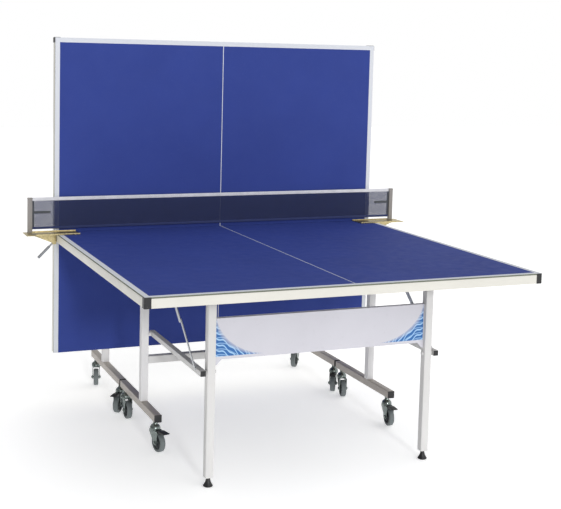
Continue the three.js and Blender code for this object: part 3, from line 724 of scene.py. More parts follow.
@dataclass
class RoundedSteel:
    """A copy of a steel node of the frame with its long outer edges rolled or bent round."""

    node: str
    material: bpy.types.Material
    body: str
    slot: str
    radius: float
    shortest: float = 40 * MM
    sharpest: float = math.radians(60)
    flatness: float = math.radians(0.5)
    room: float = 2.6
    gap: float = 0.005 * MM
    speck: float = 0.01 * MM

    def build(self) -> None:
        """Makes the rounded copy and lets it stand for the node."""
        mesh = bmesh.new()
        mesh.from_mesh(frame["nodes"][self.node].data)
        bmesh.ops.remove_doubles(mesh, verts=mesh.verts, dist=self.gap)
        bmesh.ops.dissolve_limit(
            mesh, angle_limit=self.flatness, verts=mesh.verts, edges=mesh.edges
        )
        edges = [edge for edge in mesh.edges if self.is_bend(edge)]
        bmesh.ops.bevel(
            mesh, geom=edges, offset=self.radius, segments=3, affect="EDGES", profile=0.5
        )
        bmesh.ops.remove_doubles(mesh, verts=mesh.verts, dist=self.speck)
        bmesh.ops.dissolve_degenerate(mesh, edges=mesh.edges, dist=self.speck)
        bmesh.ops.triangulate(mesh, faces=[f for f in mesh.faces if len(f.verts) > 4])
        piece = finish_piece(
            f"{self.node}_rounded", mesh, self.material, self.body, smooth_angle=30.0
        )
        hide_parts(self.node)

    def is_bend(self, edge: bmesh.types.BMEdge) -> bool:
        """Tells whether an edge is a long outer bend between two wide faces.

        Args:
            edge: an edge of the merged mesh.

        Returns:
            True where the edge is rounded.
        """
        length = edge.calc_length()
        if length < self.shortest or len(edge.link_faces) != 2 or not edge.is_convex:
            return False
        if edge.calc_face_angle(0.0) < self.sharpest:
            return False
        return all(self.width_beside(edge, face) > self.room * self.radius for face in edge.link_faces)

    def width_beside(self, edge: bmesh.types.BMEdge, face: bmesh.types.BMFace) -> float:
        """Measures how far a face reaches from one of its edges.

        Args:
            edge: the edge.
            face: a face on it.

        Returns:
            The largest distance of the face's corners from the edge's line.
        """
        start = edge.verts[0].co
        along = (edge.verts[1].co - start).normalized()
        offsets = [corner.co - start for corner in face.verts]
        return max((offset - along * offset.dot(along)).length for offset in offsets)


# ---- trim ----------------------------------------------------------------------------------


@dataclass
class TubePlugs:
    """Black moulded plugs in the open ends of the square tubes."""

    finishes: Finishes
    lip: float = 2.5 * MM
    edge: float = 1.2 * MM
    tail: float = 12 * MM
    wall: float = 2.2 * MM
    bar_width: float = 30 * MM
    brace_width: float = 20 * MM

    def plug(self, name: str, body: str, low: Vector, high: Vector, axis: int, end: int) -> None:
        """Makes one plug.

        Args:
            name: the piece's name.
            body: the body it rides on.
            low: lowest corner of the tube.
            high: highest corner of the tube.
            axis: the axis the tube runs along.
            end: -1 for its low end, 1 for its high end.
        """
        mesh = bmesh.new()
        face = high[axis] if end > 0 else low[axis]
        lip, tail = (0.0, 0.0, self.lip, self.edge), (self.wall, -self.tail, 0.0, 0.0)
        for inset, start, stop, rounding in (lip, tail):
            a, b = low + Vector((inset,) * 3), high - Vector((inset,) * 3)
            a[axis], b[axis] = sorted((face + end * start, face + end * stop))
            add_box(mesh, a, b, rounding)
        finish_piece(name, mesh, self.finishes.black, body)

    def build(self) -> None:
        """Makes the plugs of the foot bars and braces."""
        for half in HALVES:
            carriage = joint_named(f"{half}_top_fold")["parent"]
            for hand in HANDS:
                low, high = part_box(f"{half}_side_frame_{hand}")
                edge = low.x if SIDE[hand] < 0 else high.x
                left, right = sorted((edge, edge - SIDE[hand] * self.bar_width))
                start = Vector((left, low.y, low.z))
                stop = Vector((right, high.y, low.z + self.bar_width))
                for word, end in (("near_end", -1), ("far_end", 1)):
                    self.plug(f"{half}_bar_plug_{word}_{hand}", carriage, start, stop, 1, end)
                self.brace_plugs(half, hand)

    def brace_plugs(self, half: str, hand: str) -> None:
        """Makes both plugs of one brace, which runs along Y when open and along Z when folded."""
        low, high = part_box(f"{half}_brace_{hand}")
        inner = high.x if SIDE[hand] < 0 else low.x
        left, right = sorted((inner, inner + SIDE[hand] * self.brace_width))
        start, stop = Vector((left, low.y, low.z)), Vector((right, high.y, high.z))
        axis = 1 if half == "near" else 2
        for word, end in (("low_end", -1), ("high_end", 1)):
            self.plug(f"{half}_brace_plug_{word}_{hand}", f"{half}_braces", start, stop, axis, end)


@dataclass
class CornerCaps:
    """Black moulded caps round the outer corners of the edge frame."""

    finishes: Finishes
    arm: float = 22 * MM
    proud: float = 1.6 * MM
    sunk: float = 1.0 * MM
    turn: float = 5 * MM
    top: float = 0.6 * MM
    bottom: float = 38.2 * MM

    def build(self) -> None:
        """Makes the caps of both halves."""
        for half in HALVES:
            low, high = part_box(f"{half}_board")
            for hand in HANDS:
                side = SIDE[hand]
                if half == "near":
                    corner = Vector((side * high.x, low.y, 0))
                    arms = (Vector((-side, 0, 0)), Vector((0, 1, 0)))
                    depth = (high.z - self.bottom, high.z - self.top)
                    axis = Vector((0, 0, 1))
                else:
                    corner = Vector((side * high.x, 0, high.z))
                    arms = (Vector((-side, 0, 0)), Vector((0, 0, -1)))
                    depth = (low.y + self.top, low.y + self.bottom)
                    axis = Vector((0, 1, 0))
                self.cap(f"{half}_corner_cap_{hand}", f"{half}_top", corner, arms, axis, depth)

    def cap(
        self,
        name: str,
        body: str,
        corner: Vector,
        arms: tuple[Vector, Vector],
        axis: Vector,
        depth: tuple[float, float],
    ) -> None:
        """Makes one L-shaped cap.

        Args:
            name: the piece's name.
            body: the body it rides on.
            corner: the frame's corner, at zero along the axis.
            arms: unit directions of its two arms.
            axis: the direction of its depth.
            depth: where it starts and ends along the axis.
        """
        out, inside = self.proud, self.sunk
        outline = [(self.arm, -out), (self.arm, inside), (inside, inside)]
        outline += [(inside, self.arm), (-out, self.arm)]
        outline += arc((self.turn - out, self.turn - out), self.turn, 180, 270, 6)
        mesh = bmesh.new()
        rings = []
        for level in depth:
            points = [corner + arms[0] * a + arms[1] * b + axis * level for a, b in outline]
            rings.append([mesh.verts.new(point) for point in points])
        close_prism(mesh, *rings)
        finish_piece(name, mesh, self.finishes.black, body)


@dataclass
class LevellingFoot:
    """Black moulded foot, a stepped cone on a threaded stem."""

    finishes: Finishes
    radius: float = 18 * MM
    height: float = 31 * MM
    rim: float = 3 * MM
    stem: float = 5 * MM
    thread_pitch: float = 1.5 * MM
    thread_depth: float = 0.7 * MM

    def build(self, half: str, hand: str) -> None:
        """Makes one foot in place of its plain solid.

        Args:
            half: the half of the table.
            hand: the side it is on.
        """
        node = f"{half}_foot_{hand}"
        low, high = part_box(node)
        place = Matrix.Translation(((low.x + high.x) / 2, (low.y + high.y) / 2, low.z))
        cone = [(0, 0), (self.radius - self.rim, 0)]
        cone += arc((self.radius - self.rim, self.rim), self.rim, -80, 60, 6)
        steps = ((0.80, 9 * MM), (0.60, 16 * MM), (0.48, 23 * MM))
        steps += ((0.44, self.height - 1 * MM), (0.40, self.height))
        cone += [(self.radius * share, level) for share, level in steps]
        cone.append((0, self.height))
        mesh = bmesh.new()
        add_turned(mesh, cone, place)
        foot = finish_piece(f"{node}_moulding", mesh, self.finishes.black, node, 50)
        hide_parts(node)
        pitch = self.thread_pitch
        turns = int((high.z - low.z - self.height) / pitch)
        thread = [(0, self.height - 1 * MM)]
        for turn in range(turns):
            base = self.height + turn * pitch
            thread += [(self.stem - self.thread_depth, base), (self.stem, base + pitch / 2)]
        thread.append((0, self.height + turns * pitch))
        mesh = bmesh.new()
        add_turned(mesh, thread, place, 24)
        finish_piece(f"{node}_thread", mesh, self.finishes.zinc, node, 20)


# ---- casters -------------------------------------------------------------------------------


@dataclass
class Caster:
    """A swivelling caster: pressed fork with ball race, moulded wheel and, on some, a brake pedal.

    Lengths run from the stem towards the wheel, and heights from the floor.
    """

    label: str
    finishes: Finishes
    wheel_radius: float = 37.5 * MM
    wheel_width: float = 22 * MM
    tyre_depth: float = 9 * MM
    tread_round: float = 4.5 * MM
    hub: float = 10 * MM
    dish: float = 5 * MM
    spokes: int = 5
    trail: float = 28 * MM
    cheek: float = 13.5 * MM
    sheet: float = 3 * MM
    crown: float = 21 * MM
    crown_base: float = 80 * MM
    crown_rise: float = 17 * MM
    neck: float = 9 * MM
    stem: float = 6 * MM
    stem_rise: float = 14 * MM
    mount_height: float = 117.6 * MM
    lug: float = 10 * MM
    nut: float = 7.4 * MM
    axle: float = 4 * MM
    pedal_pivot: tuple[float, float] = (36 * MM, 80 * MM)
    pedal_pin: float = 2.5 * MM
    pedal_tip: tuple[float, float] = (88 * MM, 84.4 * MM)
    first_rib: tuple[float, float] = (58 * MM, 87.8 * MM)
    ribs: int = 4
    rib_pitch: float = 7 * MM
    place: Matrix = field(init=False)

    def __post_init__(self) -> None:
        """Works out where the caster stands and which way it trails."""
        stem = Vector(joint_named(f"{self.label}_swivel")["pos_m"])
        axle = Vector(joint_named(f"{self.label}_wheel_spin")["pos_m"])
        heading = math.atan2(axle.y - stem.y, axle.x - stem.x)
        self.place = Matrix.Translation((stem.x, stem.y, 0)) @ Matrix.Rotation(heading, 4, "Z")

    def build(self) -> None:
        """Makes the caster's pieces."""
        braked = f"{self.label}_brake_pedal" in frame["nodes"]
        self.fork(braked)
        self.wheel()
        if braked:
            self.pedal()

    def lying(self, x: float, z: float) -> Matrix:
        """Returns a placement whose local Z runs across the caster, at (x, z)."""
        return self.place @ Matrix.Translation((x, 0, z)) @ Matrix.Rotation(math.pi / 2, 4, "X")

    def fork(self, braked: bool) -> None:
        """Makes the fork: dome, race, neck, roof and two cheeks with the axle bolt.

        Args:
            braked: whether it carries the pin of a brake pedal.
        """
        mesh = bmesh.new()
        add_turned(mesh, self.dome(), self.place)
        base, outside = self.crown_base, self.cheek + self.sheet
        front, rear = 3 * MM - self.crown, self.pedal_pivot[0] + 6 * MM
        bottom, top, back = base - 1 * MM, base + 3 * MM, rear - 22 * MM
        roof = [(front, bottom), (back, bottom), (back, top), (front, top)]
        add_plate(mesh, roof, -outside, outside, self.place, 0.8 * MM)
        outline = [(front, top), (front, base - 8 * MM)]
        outline += arc((self.trail, self.wheel_radius), self.lug, 215, 345)
        outline += [(rear, base - 7 * MM)] + arc((rear - 4 * MM, base), 4 * MM, 0, 80, 4)
        axle = self.lying(self.trail, self.wheel_radius)
        head = [(0, 0), (self.nut, 0), (self.nut, 3.2 * MM), (self.nut - 1.2 * MM, 4 * MM), (0, 4 * MM)]
        bolt_end = [(0, 0), (5 * MM, 0), (4.4 * MM, 5.6 * MM), (0, 5.6 * MM)]
        for side in (-1, 1):
            add_plate(mesh, outline, side * self.cheek, side * outside, self.place, 0.7 * MM)
            turn = Matrix.Rotation(0 if side < 0 else math.pi, 4, "X")
            bolt = axle @ turn @ Matrix.Translation((0, 0, outside))
            add_turned(mesh, head, bolt, 6)
            add_turned(mesh, bolt_end, bolt, 20)
        span = self.cheek + 1 * MM
        add_turned(mesh, rod_profile(self.axle, -span, span), axle, 20)
        if braked:
            add_turned(mesh, rod_profile(self.pedal_pin, -span, span), self.lying(*self.pedal_pivot), 16)
        node = f"{self.label}_caster_fork"
        body = f"{self.label}_caster"
        piece = finish_piece(f"{node}_pressing", mesh, self.finishes.caster_steel, body)
        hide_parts(node)

    def dome(self) -> list[tuple[float, float]]:
        """Returns the profile of the ball race, its domed cover, the neck and the stem."""
        base, crown, lip = self.crown_base, self.crown, 2 * MM
        profile = [(0, base), (crown - lip, base)]
        profile += arc((crown - lip, base + lip), lip, -80, 20, 4)
        profile += [(crown - 0.4 * MM, base + 6 * MM), (crown + 0.4 * MM, base + 7 * MM)]
        for degrees in range(10, 66, 8):
            angle = math.radians(degrees)
            height = base + 8 * MM + self.crown_rise * math.sin(angle)
            profile.append((crown * math.cos(angle), height))
        profile += [(self.neck, base + 25.6 * MM), (self.neck, self.mount_height)]
        stem_top = self.mount_height + self.stem_rise + 0.4 * MM
        profile += [(self.stem, self.mount_height), (self.stem, stem_top), (0, stem_top)]
        return profile

    def wheel(self) -> None:
        """Makes the tyre and the dished hub inside it."""
        node = f"{self.label}_caster_wheel"
        body = f"{self.label}_wheel"
        axle = self.lying(self.trail, self.wheel_radius)
        half, radius, bend = self.wheel_width / 2, self.wheel_radius, self.tread_round
        rim = radius - self.tyre_depth
        tyre = [(rim, -half + 1 * MM), (rim + 1.5 * MM, -half)]
        tyre += arc((radius - bend, -half + bend), bend, -90, 0, 6)
        tyre += arc((radius - bend, half - bend), bend, 0, 90, 6)
        tyre += [(rim + 1.5 * MM, half), (rim, half - 1 * MM)]
        mesh = bmesh.new()
        add_turned(mesh, tyre, axle, 48, closed=True)
        piece = finish_piece(f"{node}_tyre", mesh, self.finishes.tyre, body, 50)
        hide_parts(node)
        web = self.dish - half
        dish = [(4.5 * MM, -half - 1 * MM), (self.hub, -half - 1 * MM), (self.hub + 1.5 * MM, web)]
        dish += [(rim - 4 * MM, web), (rim - 2 * MM, -half + 1 * MM), (rim, -half + 1 * MM)]
        dish += [(distance, -height) for distance, height in reversed(dish)]
        mesh = bmesh.new()
        add_turned(mesh, dish, axle, 40, closed=True)
        for index in range(self.spokes):
            turned = axle @ Matrix.Rotation(2 * math.pi * index / self.spokes, 4, "Z")
            for low, high in ((-half + 1.5 * MM, -half + 6 * MM), (half - 6 * MM, half - 1.5 * MM)):
                near, far = (self.hub - 1 * MM, -1.5 * MM, low), (rim - 1 * MM, 1.5 * MM, high)
                add_box(mesh, near, far, 0.4 * MM, 1, turned)
        finish_piece(f"{node}_hub", mesh, self.finishes.hub, body)

    def pedal(self) -> None:
        """Makes the brake pedal with its gripping ribs."""
        node = f"{self.label}_brake_pedal"
        x, z = self.pedal_pivot
        tip_x, tip_z = self.pedal_tip
        half = self.cheek - 0.5 * MM
        outline = [(x - 6 * MM, z - 2 * MM), (x + 3 * MM, z - 4 * MM), (x + 9 * MM, z - 4.6 * MM)]
        outline += [(x + 16 * MM, z - 1 * MM), (tip_x, tip_z)]
        outline += arc((tip_x - 0.5 * MM, tip_z + 2 * MM), 1.8 * MM, -80, 80, 4)
        outline += [(x + 14 * MM, z + 8 * MM), (x - 2 * MM, z + 6 * MM), (x - 6 * MM, z + 3 * MM)]
        mesh = bmesh.new()
        add_plate(mesh, outline, -half, half, self.place, 0.9 * MM)
        start, lift = self.first_rib
        low, high = lift - 1 * MM, lift + 0.9 * MM
        for index in range(self.ribs):
            edge = start + index * self.rib_pitch
            rib = [(edge, low), (edge + 3 * MM, low), (edge + 2.2 * MM, high), (edge + 0.8 * MM, high)]
            add_plate(mesh, rib, -half + 2 * MM, half - 2 * MM, self.place)
        piece = finish_piece(f"{node}_moulding", mesh, self.finishes.black, node)
        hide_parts(node)


# ---- repeated parts ------------------------------------------------------------------------


class SizedTree:
    """A Geometry Nodes tree under construction, with a named input for each of its sizes."""

    def __init__(self, name: str, sizes: dict[str, float]) -> None:
        """Starts the tree.

        Args:
            name: the tree's name.
            sizes: its inputs and their values; a whole number makes a whole-number input.
        """
        self.tree = bpy.data.node_groups.new(name, "GeometryNodeTree")
        self.values: dict[str, float] = {}
        for key, value in sizes.items():
            kind = "NodeSocketInt" if isinstance(value, int) else "NodeSocketFloat"
            socket = self.tree.interface.new_socket(key, in_out="INPUT", socket_type=kind)
            self.values[socket.identifier] = value
        self.tree.interface.new_socket("Geometry", in_out="OUTPUT", socket_type="NodeSocketGeometry")
        self.given = add_node(self.tree, "NodeGroupInput").outputs

    def add(self, kind: str, **parts: Any) -> bpy.types.NodeSocket:
        """Adds a node and returns its first output; see add_node for the parts."""
        return add_node(self.tree, kind, **parts).outputs[0]

    def scaled(self, name: str, factor: float) -> bpy.types.NodeSocket:
        """Returns a named size multiplied by a number."""
        parts = {"values": {1: factor}, "links": {0: self.given[name]}}
        return self.add("ShaderNodeMath", settings={"operation": "MULTIPLY"}, **parts)

    def vector(self, y: float = 0.0, **axes: bpy.types.NodeSocket) -> bpy.types.NodeSocket:
        """Returns a vector of the sockets given for X, Y and Z, with `y` where Y has none."""
        return self.add("ShaderNodeCombineXYZ", values={"Y": y}, links=axes)

    def repeated(self, part: bpy.types.NodeSocket, **line: Any) -> bpy.types.NodeSocket:
        """Returns a part set on each point of a line; `line` holds the Mesh Line's links."""
        points = self.add("GeometryNodeMeshLine", **line)
        return self.add("GeometryNodeInstanceOnPoints", links={"Points": points, "Instance": part})

    def joined(self, *parts: bpy.types.NodeSocket) -> bpy.types.NodeSocket:
        """Returns several geometries as one."""
        node = add_node(self.tree, "GeometryNodeJoinGeometry")
        for part in parts:
            self.tree.links.new(part, node.inputs[0])
        return node.outputs[0]

    def run(
        self, name: str, geometry: bpy.types.NodeSocket, material: bpy.types.Material
    ) -> bpy.types.Mesh:
        """Ends the tree, runs it once and keeps its result as a plain mesh.

        Args:
            name: name of the mesh.
            geometry: what the tree has made.
            material: its finish.

        Returns:
            The mesh.
        """
        real = self.add("GeometryNodeRealizeInstances", links={0: geometry})
        finish = {"values": {"Material": material}, "links": {"Geometry": real}}
        dressed = self.add("GeometryNodeSetMaterial", **finish)
        add_node(self.tree, "NodeGroupOutput", links={0: dressed})
        holder = bpy.data.objects.new(f"{name}_maker", bpy.data.meshes.new(f"{name}_maker"))
        bpy.context.scene.collection.objects.link(holder)
        modifier = holder.modifiers.new("make", "NODES")
        modifier.node_group = self.tree
        for identifier, value in self.values.items():
            modifier[identifier] = value
        bpy.context.view_layer.update()
        evaluated = holder.evaluated_get(bpy.context.evaluated_depsgraph_get())
        mesh = bpy.data.meshes.new_from_object(evaluated)
        mesh.name = name
        bpy.data.objects.remove(holder)
        return mesh


class Repeat(Enum):
    """What a row repeats."""

    SCREW = "pan-head screw"
    STITCH = "stitch"


@dataclass
class Row:
    """A straight row of equal parts, made by a Geometry Nodes tree."""

    repeat: Repeat
    material: bpy.types.Material
    pitch: float
    size: Vector
    sides: int = 12
    crown: float = 0.3

    def screw(self, tree: SizedTree) -> bpy.types.NodeSocket:
        """Returns a low pan head: a disc under a cone cut short, pointing along +Z."""
        radius = tree.scaled("Width", 0.5)
        round_count = {"Vertices": self.sides}
        links = {"Radius": radius, "Depth": tree.given["Depth"]}
        disc = tree.add("GeometryNodeMeshCylinder", values=round_count, links=links)
        links = {"Radius Top": tree.scaled("Width", self.crown), "Radius Bottom": radius}
        links["Depth"] = tree.given["Height"]
        cone = tree.add("GeometryNodeMeshCone", values=round_count, links=links)
        links = {"Geometry": cone, "Translation": tree.vector(Z=tree.scaled("Depth", 0.5))}
        return tree.joined(disc, tree.add("GeometryNodeTransform", links=links))

    def stitch(self, tree: SizedTree) -> bpy.types.NodeSocket:
        """Returns one stitch, a short bar of thread."""
        given = tree.given
        size = tree.vector(X=given["Width"], Y=given["Depth"], Z=given["Height"])
        return tree.add("GeometryNodeMeshCube", links={"Size": size})

    def add_to(self, mesh: bmesh.types.BMesh, length: float, place: Matrix) -> None:
        """Adds a row to a mesh.

        Args:
            mesh: the mesh to add to.
            length: the greatest length of the row.
            place: where its middle goes; the row runs along local X.
        """
        count = int(length / self.pitch) + 1
        sizes = {"Count": count, "Pitch": self.pitch}
        sizes.update(zip(("Width", "Depth", "Height"), self.size))
        tree = SizedTree(f"row of {self.repeat.value}", sizes)
        part = self.screw(tree) if self.repeat is Repeat.SCREW else self.stitch(tree)
        line = {"Count": tree.given["Count"], "Offset": tree.vector(X=tree.given["Pitch"])}
        made = tree.run("row", tree.repeated(part, links=line), self.material)
        made.transform(place @ Matrix.Translation((-(count - 1) * self.pitch / 2, 0, 0)))
        mesh.from_mesh(made)
        bpy.data.meshes.remove(made)


@dataclass
class FlangeScrews:
    """Pan-head screws up through the lower flange of each edge frame into the board."""

    finishes: Finishes
    flange_middle: float = 11 * MM
    flange_drop: float = 38.3 * MM
    head: Vector = field(default_factory=lambda: Vector((8 * MM, 1.6 * MM, 1.0 * MM)))
    pitch: float = 190 * MM
    side_margin: float = 300 * MM
    end_length: float = 760 * MM

    def build(self) -> None:
        """Makes the screws of both halves, one mesh for each."""
        row = Row(Repeat.SCREW, self.finishes.screw, self.pitch, self.head)
        quarter = Matrix.Rotation(math.pi / 2, 4, "Z")
        for half in HALVES:
            low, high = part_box(f"{half}_board")
            if half == "near":
                middle = Vector((0, (low.y + high.y) / 2, high.z - self.flange_drop))
                length = high.y - low.y
                turn = Matrix.Rotation(math.pi, 4, "X")
            else:
                middle = Vector((0, low.y + self.flange_drop, (low.z + high.z) / 2))
                length = high.z - low.z
                turn = Matrix.Rotation(-math.pi / 2, 4, "X")
            place = Matrix.Translation(middle) @ turn
            across = high.x - self.flange_middle
            along = length / 2 - self.flange_middle
            mesh = bmesh.new()
            for side in (-1, 1):
                beside = Matrix.Translation((side * across, 0, 0)) @ quarter
                row.add_to(mesh, length - self.side_margin, place @ beside)
                row.add_to(mesh, self.end_length, place @ Matrix.Translation((0, side * along, 0)))
            name = f"{half}_flange_screws"
            finish_piece(name, mesh, self.finishes.screw, f"{half}_top")


@dataclass
class ClampLever:
    """A clamp lever of round steel with a flattened eye and a vinyl sleeve on its handle."""

    finishes: Finishes
    length: float = 92 * MM
    rod: float = 4 * MM
    eye: float = 7 * MM
    bore: float = 3.5 * MM
    sleeve: float = 5.8 * MM
    sleeve_start: float = 24 * MM
    slope: float = math.radians(45)

    def build(self) -> None:
        """Makes the lever on each side."""
        for hand in HANDS:
            body = f"clamp_lever_{hand}"
            pivot = Vector(joint_named(f"{body}_turn")["pos_m"])
            along = Vector((SIDE[hand] * math.cos(self.slope), 0, -math.sin(self.slope)))
            rod = Matrix.Translation(pivot) @ along.to_track_quat("Z", "Y").to_matrix().to_4x4()
            eye = Matrix.Translation(pivot) @ Matrix.Rotation(math.pi / 2, 4, "X")
            mesh = bmesh.new()
            half = self.eye - 0.5 * MM
            ring = [(self.bore, -half), (self.eye - 1 * MM, -half), (self.eye, 1 * MM - half)]
            ring += [(self.eye, half - 1 * MM), (self.eye - 1 * MM, half), (self.bore, half)]
            add_turned(mesh, ring, eye, 32, closed=True)
            start, stop = self.eye - 1.5 * MM, self.length - 3 * MM
            add_turned(mesh, rod_profile(self.rod, start, stop), rod, 24)
            lever = finish_piece(f"{body}_rod", mesh, self.finishes.lever, body)
            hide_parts(body)
            grip = [(0, self.sleeve_start)]
            grip += arc((self.sleeve - 1 * MM, self.sleeve_start + 1 * MM), 1 * MM, -90, 0, 3)
            grip += arc((self.sleeve - 3 * MM, self.length - 3 * MM), 3 * MM, 0, 80, 5)
            grip += [(0, self.length)]
            mesh = bmesh.new()
            add_turned(mesh, grip, rod, 28)
            finish_piece(f"{body}_sleeve", mesh, self.finishes.grip, body)


# ---- net -----------------------------------------------------------------------------------


@dataclass
class NetSet:
    """The net with its tape, end hems, straps and a dark band along its bottom, and the caps of its
    posts.

    Its strands are set wider apart and thicker than real ones, which would be too fine to show.
    """

    finishes: Finishes
    pitch: float = 4 * MM
    cord: float = 1.16 * MM
    lean: float = 0.35 * MM
    tape_height: float = 15 * MM
    tape_depth: float = 3.2 * MM
    tape_proud: float = 0.6 * MM
    stitch: Vector = field(default_factory=lambda: Vector((4 * MM, 0.5 * MM, 0.7 * MM)))
    stitch_pitch: float = 8 * MM
    stitch_rise: float = 3 * MM
    end_hem: float = 9 * MM
    end_hem_depth: float = 2.8 * MM
    band_height: float = 11 * MM
    band_drop: float = 9 * MM
    band_depth: float = 3 * MM
    strap_length: float = 78 * MM
    strap_height: float = 11 * MM
    strap_depth: float = 3.8 * MM
    strap_level: float = 0.46
    cap_proud: float = 0.6 * MM
    cap_drop: float = 6 * MM
    cap_top: float = 0.4 * MM

    def __post_init__(self) -> None:
        """Finds the box that the net hangs in and its middle plane."""
        self.low, self.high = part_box("net")
        self.middle = (self.low.y + self.high.y) / 2

    def build(self) -> None:
        low, high = self.low, self.high
        cloth = self.mesh_cloth()
        white, dark, grey = self.finishes.net_tape, self.finishes.net_cord, self.finishes.net_hem
        whole = (low.x, high.x)
        top, base = high.z + self.tape_proud, low.z - self.band_drop
        tape_rise, band_rise = (top - self.tape_height, top), (base, base + self.band_height)
        trims = [
            self.band("net_top_tape", whole, tape_rise, self.tape_depth, 1.4 * MM, white),
            # A dark band along the net's bottom edge, reaching a little below it.
            self.band("net_bottom_dark_band", whole, band_rise, self.band_depth, 1.3 * MM, dark, 50.0),
        ]
        hem_rise = (low.z, high.z - self.tape_height)
        level = low.z + self.strap_level * (high.z - low.z)
        strap_rise = (level, level + self.strap_height)
        for hand, x, inward in (("left", low.x, 1), ("right", high.x, -1)):
            hem = (x, x + inward * self.end_hem)
            strap = (x, x + inward * self.strap_length)
            name = f"net_end_hem_{hand}"
            trims.append(self.band(name, hem, hem_rise, self.end_hem_depth, 0.8 * MM, grey))
            name = f"net_strap_{hand}"
            trims.append(self.band(name, strap, strap_rise, self.strap_depth, 0.9 * MM, grey))
        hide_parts("net")
        self.post_caps()

    def mesh_cloth(self) -> bpy.types.Object:
        """Makes the mesh with a Geometry Nodes tree of crossing cords.

        Returns:
            The cloth piece.
        """
        low, high = self.low, self.high
        sizes = {"Width": high.x - low.x, "Height": high.z - low.z - 4 * MM}
        sizes |= {"Pitch": self.pitch, "Cord Radius": self.cord}
        tree = SizedTree("net_mesh", sizes)
        links = {"Radius": tree.given["Cord Radius"]}
        profile = tree.add("GeometryNodeCurvePrimitiveCircle", values={"Resolution": 4}, links=links)
        upright = self.strands(tree, profile, "Height", "Width", self.lean)
        level = self.strands(tree, profile, "Width", "Height", -self.lean)
        mesh = tree.run("net_cloth", tree.joined(upright, level), self.finishes.net_cord)
        centre = ((low.x + high.x) / 2, self.middle, (low.z + high.z) / 2 - 1 * MM)
        mesh.transform(Matrix.Translation(centre))
        piece = bpy.data.objects.new("net_cloth", mesh)
        bpy.context.scene.collection.objects.link(piece)
        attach(piece, "near_top")
        return piece

    def strands(
        self, tree: SizedTree, profile: bpy.types.NodeSocket, run: str, cross: str, lean: float
    ) -> bpy.types.NodeSocket:
        """Makes one set of parallel cords.

        Args:
            tree: the net's tree.
            profile: the section of a cord.
            run: the named size that the cords span.
            cross: the named size that they are set out along.
            lean: how far they stand off the net's plane.

        Returns:
            The set of cords.
        """
        along, beside = ("Z", "X") if run == "Height" else ("X", "Z")
        ends = {
            "Start": tree.vector(lean, **{along: tree.scaled(run, -0.5)}),
            "End": tree.vector(lean, **{along: tree.scaled(run, 0.5)}),
        }
        line = tree.add("GeometryNodeCurvePrimitiveLine", links=ends)
        links = {"Curve": line, "Profile Curve": profile}
        strand = tree.add("GeometryNodeCurveToMesh", values={"Fill Caps": True}, links=links)
        links = {0: tree.given[cross], 1: tree.given["Pitch"]}
        spots = {
            "Count": tree.add("ShaderNodeMath", settings={"operation": "DIVIDE"}, links=links),
            "Start Location": tree.vector(**{beside: tree.scaled(cross, -0.5)}),
            "Offset": tree.vector(**{beside: tree.given["Pitch"]}),
        }
        return tree.repeated(strand, links=spots)

    def band(
        self,
        name: str,
        along: tuple[float, float],
        rise: tuple[float, float],
        depth: float,
        rounding: float,
        material: bpy.types.Material,
        smooth_angle: float = 35.0,
    ) -> bpy.types.Object:
        """Sews one flat band onto the net; the top tape has a row of stitches on each face.

        Args:
            name: the piece's name.
            along: its two ends along X.
            rise: its bottom and top.
            depth: its thickness.
            rounding: radius of its edges.
            material: its finish.
            smooth_angle: edges sharper than this many degrees stay sharp.

        Returns:
            The new piece.
        """
        start, end = sorted(along)
        half = depth / 2
        mesh = bmesh.new()
        near, far = (start, self.middle - half, rise[0]), (end, self.middle + half, rise[1])
        add_box(mesh, near, far, rounding)
        if name == "net_top_tape":
            row = Row(Repeat.STITCH, material, self.stitch_pitch, self.stitch)
            for side in (-1, 1):
                spot = ((start + end) / 2, self.middle + side * half, rise[0] + self.stitch_rise)
                row.add_to(mesh, end - start - self.stitch_pitch, Matrix.Translation(spot))
        return finish_piece(name, mesh, material, "near_top", smooth_angle)

    def post_caps(self) -> None:
        """Makes the moulded cap on top of each net post."""
        for hand in HANDS:
            low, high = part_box(f"net_post_{hand}")
            proud = Vector((self.cap_proud, self.cap_proud, 0))
            near = Vector((low.x, low.y, high.z - self.cap_drop)) - proud
            far = Vector((high.x, high.y, high.z + self.cap_top)) + proud
            mesh = bmesh.new()
            add_box(mesh, near, far, 0.8 * MM)
            name = f"net_post_cap_{hand}"
            finish_piece(name, mesh, self.finishes.net_post, "near_top")


# ---- the whole table -----------------------------------------------------------------------


